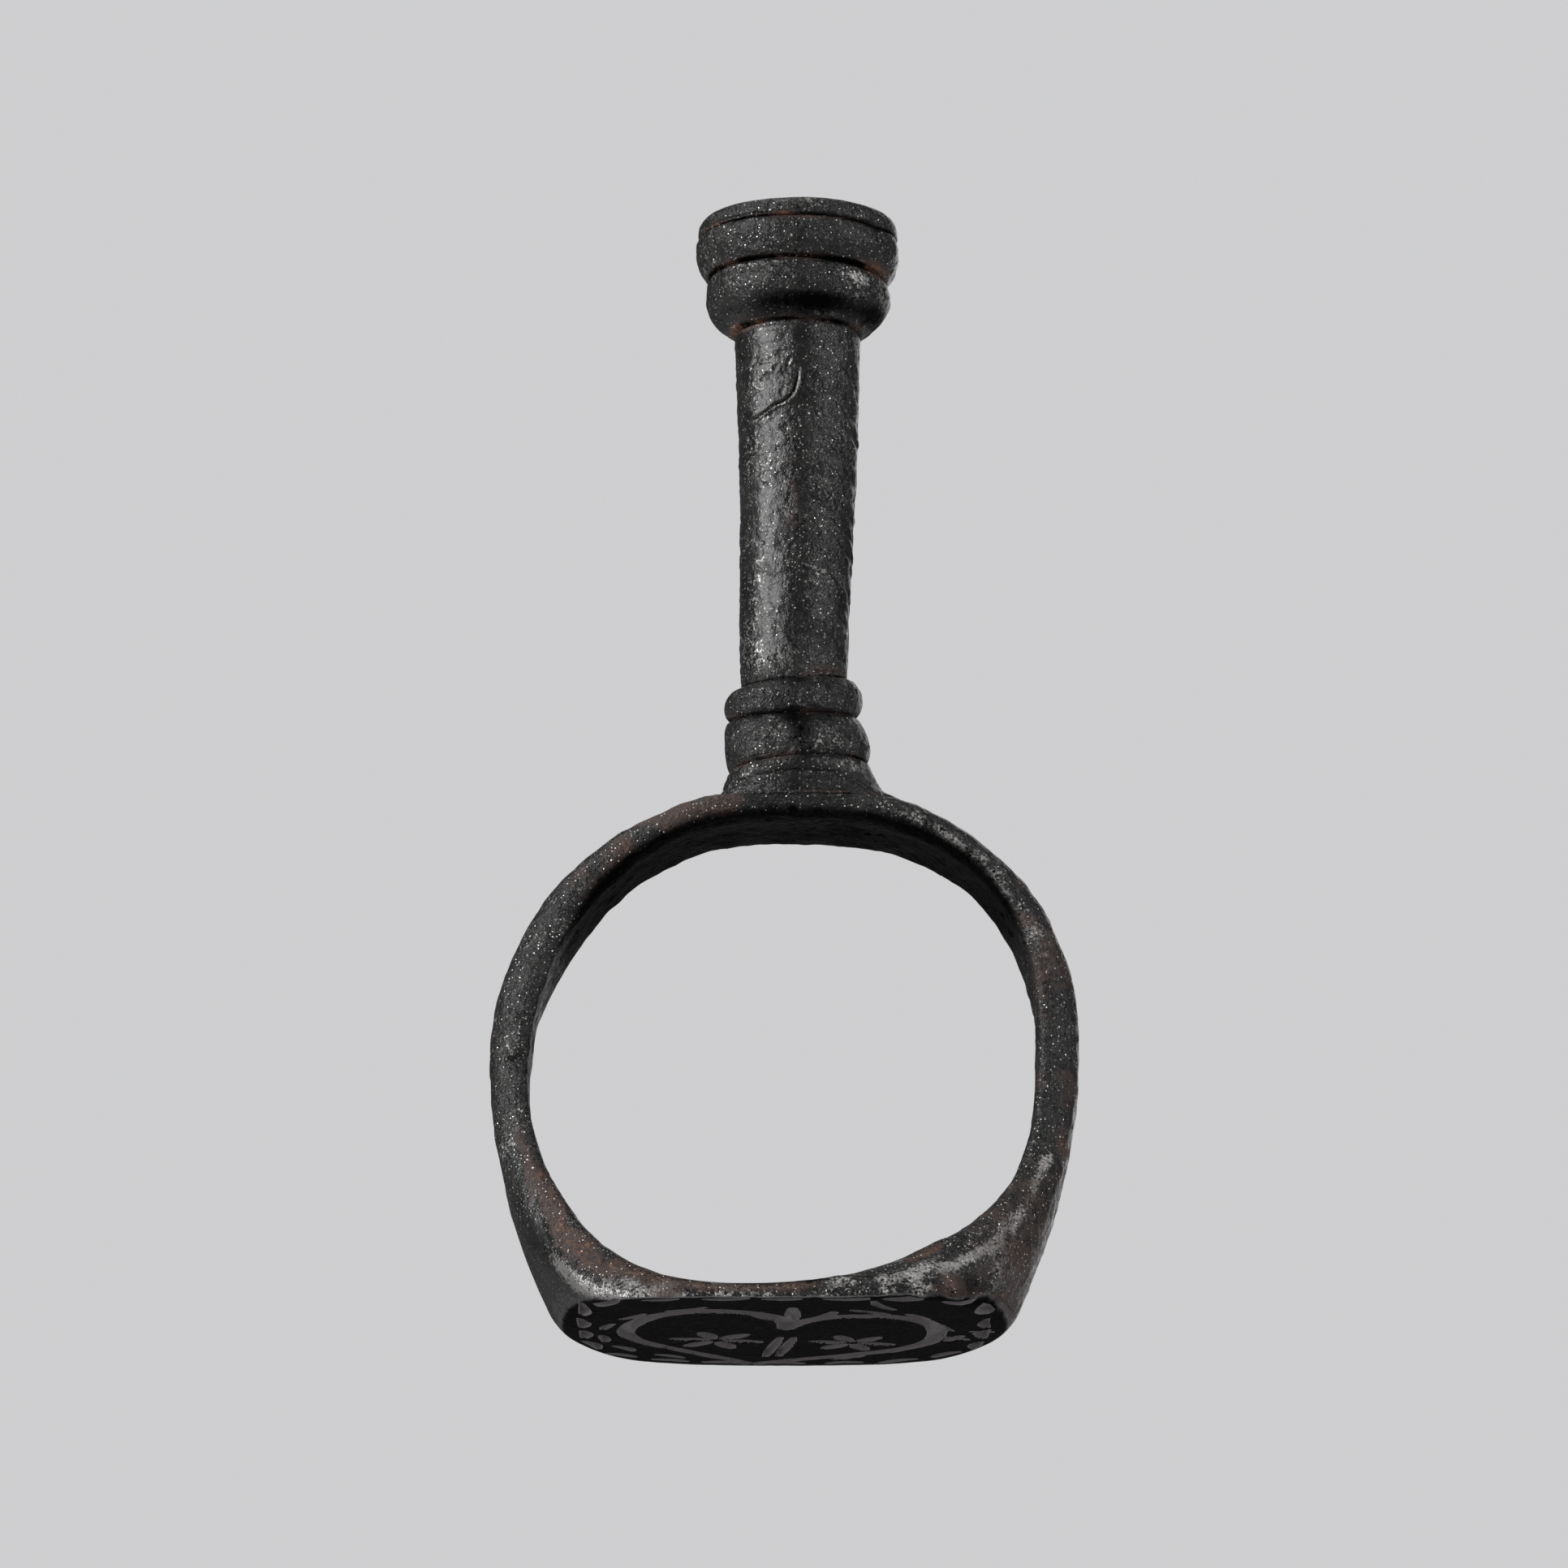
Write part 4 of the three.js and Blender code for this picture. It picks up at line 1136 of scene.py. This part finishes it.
def turned_piece(name, node, profile, closed, relief, fold_lip_highlight=None):
    """A profile of radii and heights carried round the stem's axis. The relief moves each point outwards. A
    closed profile makes a ring, and an open one starts and ends by the axis, where fans close it."""
    radius, height = (np.array(column, float)[:, None] for column in zip(*profile))
    angle = (np.arange(AROUND_STEM) * 2 * math.pi / AROUND_STEM)[None, :] + 0 * height
    plain = np.stack([AXIS + radius * np.cos(angle), radius * np.sin(angle), height + 0 * angle], -1)
    outward = np.stack([np.cos(angle), np.sin(angle), 0 * angle], -1)
    points = leaning(plain + outward * relief(plain, angle)[..., None])
    rows = len(profile)
    quads = grid_quads(rows, AROUND_STEM, closed, True)
    points, plain = points.reshape(-1, 3), plain.reshape(-1, 3)
    triangles = None
    if not closed:
        ends = np.array([[AXIS, 0, height[0, 0]], [AXIS, 0, height[-1, 0]]])
        points, plain = np.concatenate([points, ends]), np.concatenate([plain, ends])
        loop = np.arange(AROUND_STEM)
        last = (rows - 1) * AROUND_STEM + loop
        triangles = np.concatenate([fan(len(points) - 2, loop[::-1]), fan(len(points) - 1, last)])
    wear = stem_wear(plain)
    # a painted highlight along a line, given as bare metal
    if fold_lip_highlight is not None:
        wear = np.maximum(wear, fold_lip_highlight(plain))
    hollow = np.clip(-(stem_relief(plain) + 0.01) / 0.05, -1, 1)
    make_piece(
        name, node, "stem_iron", iron, points, quads, triangles, rust=stem_rust(plain),
        dust=np.zeros(len(points)), calm=stem_calm(plain), **worked(wear, stem_soot(plain), hollow),
    )


def bead_profile(rows, bottom, widest, top, low, rise, height, low_power, high_power):
    """The outer side of a bead from its lower to its upper crease: the radius is the end's radius plus the
    rest times the cosine of a turn from -90 to 90 degrees, to a power, and the height follows the sine."""
    turn = np.linspace(-math.pi / 2, math.pi / 2, rows)
    end = np.where(turn < 0, bottom, top)
    power = np.where(turn < 0, low_power, high_power)
    reach = np.where(turn < 0, rise, height - rise)
    radius = end + (widest - end) * np.clip(np.cos(turn), 0, 1) ** power
    return list(zip(radius, low + rise + reach * np.sin(turn)))


def evenly(profile, count):
    """The same profile with its points spaced evenly along it."""
    line = np.array(profile)
    run = np.concatenate([[0], np.cumsum(np.linalg.norm(np.diff(line, axis=0), axis=1))])
    steps = np.linspace(0, run[-1], count)
    return list(zip(np.interp(steps, run, line[:, 0]), np.interp(steps, run, line[:, 1])))


def bored(side, bore):
    """Closes a bead's side over its flat top, down its bore and out under its bottom."""
    (first_radius, low), (last_radius, high) = side[0], side[-1]
    top = [(last_radius + (bore - last_radius) * t, high) for t in np.linspace(0.1, 1, 6)]
    wall = [(bore, low + (high - low) * t) for t in (0.66, 0.33)]
    bottom = [(bore + (first_radius - bore) * t, low) for t in np.linspace(0, 0.9, 6)]
    return side + top + wall + bottom


FINE_ROWS = 200  # of a bead's profile, before its points are spaced evenly
LOWER_BORE = LOWER_TENON + TENON_CLEARANCE
UPPER_BORE = UPPER_TENON + TENON_CLEARANCE
# Each bead: name, node, its lowest and highest corner, radii at its bottom, widest place and top, height of
# the widest place, powers below and above it, bore, height of its dents, and rows
BEADS = (
    ("collar_below", "lower_collar", collar_low, collar_high,
     (2.78, 3.04, 2.63), 0.85, (1.8, 1.6), LOWER_BORE, 0.12, 60),
    ("collar_above", "upper_collar", second_low, second_high,
     (2.63, 2.92, 2.26), 0.74, (1.8, 1.1), LOWER_BORE, 0.12, 48),
    ("knob_roll_below", "lower_knob_roll", roll_low, roll_high,
     (2.62, 3.86, 3.66), 1.50, (1.9, 1.2), UPPER_BORE, 0.090, 76),
    ("knob_roll_above", "upper_knob_roll", top_roll_low, top_roll_high,
     (3.64, 4.27, 4.06), 1.22, (1.8, 1.1), UPPER_BORE, 0.090, 60),
)


def mouldings():
    """The two collars and the knob's two rolls."""
    def filed(amount):
        """The relief of a bead with dents of an amount, on its outer side only."""
        def relief(p, angle):
            outer = smooth_step(np.hypot(p[..., 0] - AXIS, p[..., 1]), 2.0, 2.3)
            dents = amount * noise(p * np.array([1, 1, 1.3]), 1.5, 41)
            dents = dents - 0.7 * amount * pits(p, 0.9, 0.22, 43)
            return (stem_relief(p, 1.5) + dents + crease_relief(p)) * outer - 0.03 * outer
        return relief

    for name, node, low, high, radii, rise, powers, bore, amount, rows in BEADS:
        side = bead_profile(FINE_ROWS, *radii, low[2], rise, high[2] - low[2], *powers)
        turned_piece(name, node, bored(evenly(side, rows), bore), True, filed(amount))


def end_disc():
    """The thin rim and flat end of the knob, with a countersink that the riveted tenon fills."""
    low, top, bore = disc_low[2], disc_high[2], UPPER_BORE
    side = evenly(bead_profile(FINE_ROWS, 4.03, 4.17, 3.55, low, 0.30, top - low, 0.8, 0.60), 40)
    flat = [(r, top) for r in np.linspace(3.5, bore + PEEN_SPREAD + 0.03, 40)]
    hole = [(bore + PEEN_SPREAD, top - 0.02), (bore, top - PEEN_DEPTH), (bore, low)]
    under = [(r, low) for r in np.linspace(bore + 0.4, 3.9, 6)]

    def relief(p, angle):
        """Filing, dents and creases on the rim, less a scored line that fades towards +X."""
        outer = smooth_step(np.hypot(p[..., 0] - AXIS, p[..., 1]), 3.4, 3.9)
        line = hump(p[..., 2], low + 0.13, 0.045) * smooth_step(-p[..., 0], -1.0, 1.5)
        height = stem_relief(p, 1.2) + 0.05 * noise(p, 1.9, 47) + crease_relief(p) - 0.06 * line
        return height * outer - 0.02 * outer

    turned_piece("knob_end", "end_disc", side + flat + hole + under, True, relief)


FOLD = (  # X from the axis and height of the hairline fold on the near side of the shaft
    (0.07, 39.88), (0.03, 39.43), (-0.10, 38.90), (-0.37, 38.56), (-0.67, 38.41),
    (-0.94, 38.33), (-1.24, 38.13), (-1.64, 37.93), (-1.88, 37.83), (-2.15, 37.59),
)
NICKS = (  # ends of three short cuts beside it
    ((-0.27, 40.31), (-0.37, 40.03)), ((0.77, 38.14), (0.90, 37.94)), ((0.35, 31.55), (1.25, 31.30)),
)


def line_distance(p, path):
    """Distance in X and Z to the nearest segment of a line on the shaft's near side, positive above it, and
    the share of the line's length there."""
    spot = np.stack([p[..., 0] - AXIS, p[..., 2]], -1)
    best = np.full(p.shape[:-1], 9.0)
    signed = best.copy()
    share = np.zeros(p.shape[:-1])
    path = np.array(path)
    for k, (a, b) in enumerate(zip(path[:-1], path[1:])):
        way = b - a
        t = np.clip((spot - a) @ way / (way @ way), 0, 1)
        gap = spot - a - t[..., None] * way
        away = np.linalg.norm(gap, axis=-1)
        side = np.sign(way[0] * gap[..., 1] - way[1] * gap[..., 0])
        closer = (away < best) & (p[..., 1] < 0)
        best = np.where(closer, away, best)
        signed = np.where(closer, -away * side, signed)
        share = np.where(closer, (k + t) / (len(path) - 1), share)
    return signed, share


SHAFT_ROWS = 268
SHAFT_RADIUS = 2.20  # at its bottom
SHAFT_TAPER = 0.43  # by which it is thicker at its top
SHAFT_WAIST = 0.04  # by which it is thinner than straight halfway up
SHAFT_EDGE = 0.05  # by which its two edges are rounded
SHAFT_MEAN_RADIUS = 2.4  # turns an angle into an arc


def stem_shaft():
    """The shaft and its two tenons, as one bar whose riveted ends fill their countersinks: straight between
    its two radii, less a sine, and rounded at both ends by falling exponentials."""
    bottom, top, end = SHAFT_BOTTOM, SHAFT_TOP, stem_high[2]
    profile = [(r, HOLE_TOP) for r in np.linspace(0.15, LOWER_TENON + PEEN_SPREAD, 10)]
    profile += [(LOWER_TENON, HOLE_TOP + PEEN_DEPTH), (LOWER_TENON, bottom - 0.3), (LOWER_TENON, bottom)]
    profile += [(r, bottom) for r in (1.5, 1.9, 2.1)]
    for t in np.linspace(0, 1, SHAFT_ROWS):
        radius = SHAFT_RADIUS + SHAFT_TAPER * t - SHAFT_WAIST * math.sin(math.pi * t)
        rounding = SHAFT_EDGE * (math.exp(-t * 60) + math.exp(-(1 - t) * 60))
        profile.append((radius - rounding, bottom + (top - bottom) * t))
    profile += [(r, top) for r in (2.5, 2.0, 1.6)]
    profile += [(UPPER_TENON, top), (UPPER_TENON, end - PEEN_DEPTH)]
    profile += [(UPPER_TENON + PEEN_SPREAD, end - 0.02)]
    profile += [(r, end - 0.01) for r in np.linspace(UPPER_TENON + PEEN_SPREAD - 0.08, 0.15, 10)]

    def relief(p, angle):
        """Filing, slanted hatching at the right, level strokes at the left and below, and the fold and nicks:
        each is a ridge above its line and a groove below it. Noise that is stretched along the strokes makes
        them, over the arc round the shaft and the height."""
        radius = np.hypot(p[..., 0] - AXIS, p[..., 1])
        outer = smooth_step(radius, 1.85, 2.05)
        near = p[..., 1] < 0
        lift = stem_relief(p)
        arc, z = angle * SHAFT_MEAN_RADIUS, p[..., 2]
        across = np.stack([arc * 0.57 + z * 0.82, (arc * 0.82 - z * 0.57) * 0.28, 0 * arc], -1)
        right = smooth_step(np.cos(angle), 0.05, 0.5) * near
        right = right * smooth_step(z, 28.0, 31.5) * (1 - smooth_step(z, 39.5, 41.5))
        lift += 0.055 * noise(across, 0.24, 81) * right
        strokes = np.stack([arc * 0.25, 0 * arc, z], -1)
        left = smooth_step(-np.cos(angle), -0.1, 0.3)
        lift += 0.016 * noise(strokes, 0.17, 85) * left
        lift -= 0.05 * pits(p, 0.30, 0.30, 87) * near_spot(p, (AXIS - 1.6, -1.9, 39.9), (0.9, 1.5, 1.3))
        low = 1 - smooth_step(z, 27.6, 29.5)
        scored = hump(z, bottom + 0.22, 0.05) * smooth_step(noise(p, 1.5, 88), -0.2, 0.4)
        lift += 0.014 * noise(strokes, 0.2, 86) * low - 0.05 * scored
        away, share = line_distance(p, FOLD)
        fade = smooth_step(share, -0.02, 0.1) * (1 - smooth_step(share, 0.75, 1.0))
        lift += fade * (0.09 * hump(away, -0.05, 0.06) - 0.12 * hump(away, 0.06, 0.05))
        for nick in NICKS:
            away, _ = line_distance(p, nick)
            lift += 0.05 * hump(away, -0.03, 0.05) - 0.07 * hump(away, 0.05, 0.05)
        return (lift + crease_relief(p) * (radius > 2)) * outer

    def fold_lip_highlight(p):
        """Painted highlights on the upper lips of the fold and the nicks, given as bare metal."""
        away, share = line_distance(p, FOLD)
        bright = 1.3 * hump(away, -0.04, 0.055) * (1 - smooth_step(share, 0.8, 1.0))
        for nick in NICKS:
            away, _ = line_distance(p, nick)
            bright = np.maximum(bright, hump(away, -0.02, 0.05))
        return bright

    turned_piece("shaft", "stem_shaft", profile, False, relief, fold_lip_highlight)


# Foot

FOOT_ROWS = 72
FOOT_TOP_RADIUS = 2.8
FOOT_BASE_LENGTH = 7.6
FOOT_BASE_WIDTH = 4.9
FOOT_FLARE = 1.6  # power of the way down by which it spreads
FOOT_LEAN = 0.4  # of its base towards +X
FOOT_SQUARENESS = 2.4  # of its base


def foot_ring(down, angle):
    """The foot seen from above: a superellipse, round at its top, oblong and spread at its base, by the share
    of the way down."""
    spread = down**FOOT_FLARE
    half_length = FOOT_TOP_RADIUS + (FOOT_BASE_LENGTH / 2 - FOOT_TOP_RADIUS) * spread
    half_width = FOOT_TOP_RADIUS + (FOOT_BASE_WIDTH / 2 - FOOT_TOP_RADIUS) * down
    n = 2 + (FOOT_SQUARENESS - 2) * down
    c, s = np.cos(angle), np.sin(angle)
    reach = ((np.abs(c) / half_length) ** n + (np.abs(s) / half_width) ** n) ** (-1 / n)
    return AXIS + FOOT_LEAN * spread + c * reach, s * reach


def foot_saddle():
    """Rings from the base up to the crease under the collar, in over the top, down the bore and out below,
    with dents and an arched groove round the side."""
    low, high = foot_low[2], foot_high[2]
    angle = np.arange(AROUND_STEM) * 2 * math.pi / AROUND_STEM

    def level(x, y, z):
        return np.stack([x, y, np.full(AROUND_STEM, z)], -1)

    climb = np.linspace(0, 1, FOOT_ROWS)
    side = np.stack([level(*foot_ring(1 - t, angle), low + (high - low) * t) for t in climb])
    outward = np.stack([np.cos(angle), np.sin(angle), 0 * angle], -1)
    arch = low + 0.50 + 0.32 * np.cos(angle + 1.6) ** 2
    lift = stem_relief(side, 1.4) + 0.08 * noise(side, 1.2, 57) - 0.06 * pits(side, 0.8, 0.2, 59)
    lift -= 0.07 * hump(side[..., 2], arch, 0.09) * (0.7 + 0.7 * noise(side, 1.5, 58))
    lift += 0.12 * smooth_step(side[..., 2], low + 0.4, high - 0.1) + crease_relief(side) - 0.03
    lift *= smooth_step(side[..., 2], low, low + 0.12)
    side = side + outward * lift[..., None]
    base_x, base_y = foot_ring(1.0, angle)
    inwards = np.linspace(2.4, LOWER_BORE, 5)
    top = [level(AXIS + r * np.cos(angle), r * np.sin(angle), high) for r in inwards]
    wall = [level(AXIS + LOWER_BORE * np.cos(angle), LOWER_BORE * np.sin(angle), low)]
    base = [level(AXIS + (base_x - AXIS) * k, base_y * k, low) for k in (0.6, 0.8, 0.95)]
    plain = np.concatenate([side, np.stack(top + wall + base)])
    make_piece(
        "foot", "foot_saddle", "forged_iron", iron, leaning(plain).reshape(-1, 3),
        grid_quads(len(plain), AROUND_STEM, True, True), rust=stem_rust(plain), wear=stem_wear(plain),
        dust=np.zeros(plain.shape[:2]), soot=stem_soot(plain), calm=stem_calm(plain),
    )


BEAD_SECTION = 12  # points round the braze bead's section
BEAD_THINNEST = 0.06  # its radius
BEAD_UNEVENNESS = 0.09


def foot_film():
    """The braze squeezed out round the foot's base: a circle of uneven radius carried round the foot's own
    outline."""
    count = FILM_POINTS
    angle = np.arange(count) * 2 * math.pi / count
    x, y = foot_ring(1.0, angle)
    path = np.stack([x, y, np.full(count, (film_low[2] + film_high[2]) / 2 + 0.02)], -1)
    thick = BEAD_THINNEST + BEAD_UNEVENNESS * (0.5 + 0.5 * noise(path, 0.9, 63))
    turn = np.arange(BEAD_SECTION) * 2 * math.pi / BEAD_SECTION
    out = np.stack([np.cos(angle), np.sin(angle), 0 * angle], -1)
    up = np.array([0, 0, 1.0])
    ring = (
        path[:, None, :]
        + out[:, None, :] * (thick[:, None] * np.cos(turn))[..., None]
        + up * (thick[:, None] * np.sin(turn))[..., None]
    )
    bright = near_spot(ring, (AXIS - 3.0, -0.8, film_high[2]), (0.7, 1.2, 1.0))
    bright += 0.4 * smooth_step(noise(ring, 1.2, 68), 0.3, 0.8)
    blank = 0 * bright
    make_piece(
        "foot_braze_bead", "foot_braze", "braze_metal", braze, ring.reshape(-1, 3),
        grid_quads(count, BEAD_SECTION, True, True), wear=np.clip(bright, 0, 1), rust=0.4 + blank,
        dust=blank, soot=blank + 0.25, calm=blank,
    )


# Studio

FLOOR_HEIGHT = -0.07  # in metres, as all the studio's sizes are
FLOOR_HALF = 3.0
FLOOR_CLOUD_MM = 90.0
FLOOR_SHADES = (0.50, 0.50, 0.50), (0.54, 0.54, 0.54)
FLOOR_EVENNESS = 0.85  # share of the floor's seen colour that is the same near the lamps and far off
WORLD_LIGHT = (0.07, 0.07, 0.0715)
WORLD_SEEN = (0.62, 0.62, 0.63)  # the same world where the camera sees it straight
LAMPS_AIM = Vector((0, 0, 0.024))
LAMPS = (  # name, place, width and height, watts, and how widely the light fans out, in degrees
    ("lamp_left", (-0.62, -0.34, 0.24), 0.42, 0.50, 5.3, 140),
    ("lamp_right", (0.62, -0.32, 0.26), 0.24, 0.50, 2.1, 140),
    ("lamp_above", (-0.1, 0.1, 0.75), 0.45, 0.45, 2.2, 180),
    ("lamp_behind", (0.15, 0.80, 0.30), 0.50, 0.50, 1.2, 180),
)


def pale_floor():
    """The floor's material: faintly clouded grey, evenly pale to the camera, and clear to one below it."""
    f = Finish("pale_floor")
    shade = f.mix(f.noise(FLOOR_CLOUD_MM, detail=2.0), *FLOOR_SHADES)
    lit = Wire(f.tree, f.shader.outputs["BSDF"])
    seen = f.node("LightPath", "Is Camera Ray")
    even = f.node("Emission", inputs={"Color": WORLD_SEEN})
    pale = f.node("MixShader", inputs={0: seen * FLOOR_EVENNESS, 1: lit, 2: even})
    below = seen * f.node("NewGeometry", "Backfacing")
    one_sided = f.node("MixShader", inputs={0: below, 1: pale, 2: f.node("BsdfTransparent")})
    connect(f.tree, f.tree.nodes["Material Output"].inputs["Surface"], one_sided)
    return f.set(Base_Color=shade, Roughness=0.8)


def studio():
    """A pale floor well below the seal, a pale even world and soft lamps round it, strongest at the left."""
    mesh = bpy.data.meshes.new("floor")
    signs = (-1, -1), (1, -1), (1, 1), (-1, 1)
    mesh.from_pydata([(x * FLOOR_HALF, y * FLOOR_HALF, FLOOR_HEIGHT) for x, y in signs], [], [(0, 1, 2, 3)])
    mesh.materials.append(pale_floor())
    floor = bpy.data.objects.new("floor", mesh)
    bpy.context.scene.collection.objects.link(floor)

    world = bpy.data.worlds.new("studio")
    world.use_nodes = True
    sky = Nodes(world.node_tree)
    shade = sky.mix(sky.node("LightPath", "Is Camera Ray"), WORLD_LIGHT, WORLD_SEEN)
    connect(sky.tree, sky.tree.nodes["Background"].inputs["Color"], shade)
    bpy.context.scene.world = world

    for name, spot, width, height, watts, spread in LAMPS:
        light = bpy.data.lights.new(name, "AREA")
        light.shape = "RECTANGLE"
        light.size, light.size_y = width, height
        light.energy, light.spread = watts, math.radians(spread)
        lamp = bpy.data.objects.new(name, light)
        lamp.location = spot
        lamp.rotation_euler = (LAMPS_AIM - Vector(spot)).to_track_quat("-Z", "Y").to_euler()
        bpy.context.scene.collection.objects.link(lamp)


def camera():
    """A camera in front of the seal and below it that looks up at it. Its lens is the sensor's width times the
    distance over the width of the frame."""
    data = bpy.data.cameras.new("camera")
    data.sensor_width = SENSOR_WIDTH
    data.lens = SENSOR_WIDTH * CAMERA_DISTANCE / FRAME_WIDTH
    data.clip_start, data.clip_end = 0.01, 20.0
    eye = bpy.data.objects.new("camera", data)
    back = Vector((0, -math.cos(CAMERA_ELEVATION), math.sin(CAMERA_ELEVATION)))
    eye.location = CAMERA_TARGET + back * CAMERA_DISTANCE
    eye.rotation_euler = (-back).to_track_quat("-Z", "Y").to_euler()
    bpy.context.scene.collection.objects.link(eye)
    bpy.context.scene.camera = eye


bpy.context.scene.view_settings.view_transform = "Standard"
iron = patinated_iron("patinated_iron")
iron_face = patinated_iron("engraved_iron", painted_glint_share=0.2, edge=(0.6, 0.6, 0.6))
braze = patinated_iron("old_braze", worn_and_highlit=BRASS)

camera()
studio()
finger_hoop()
seal_plate()
plate_film()
foot_saddle()
foot_film()
mouldings()
end_disc()
stem_shaft()
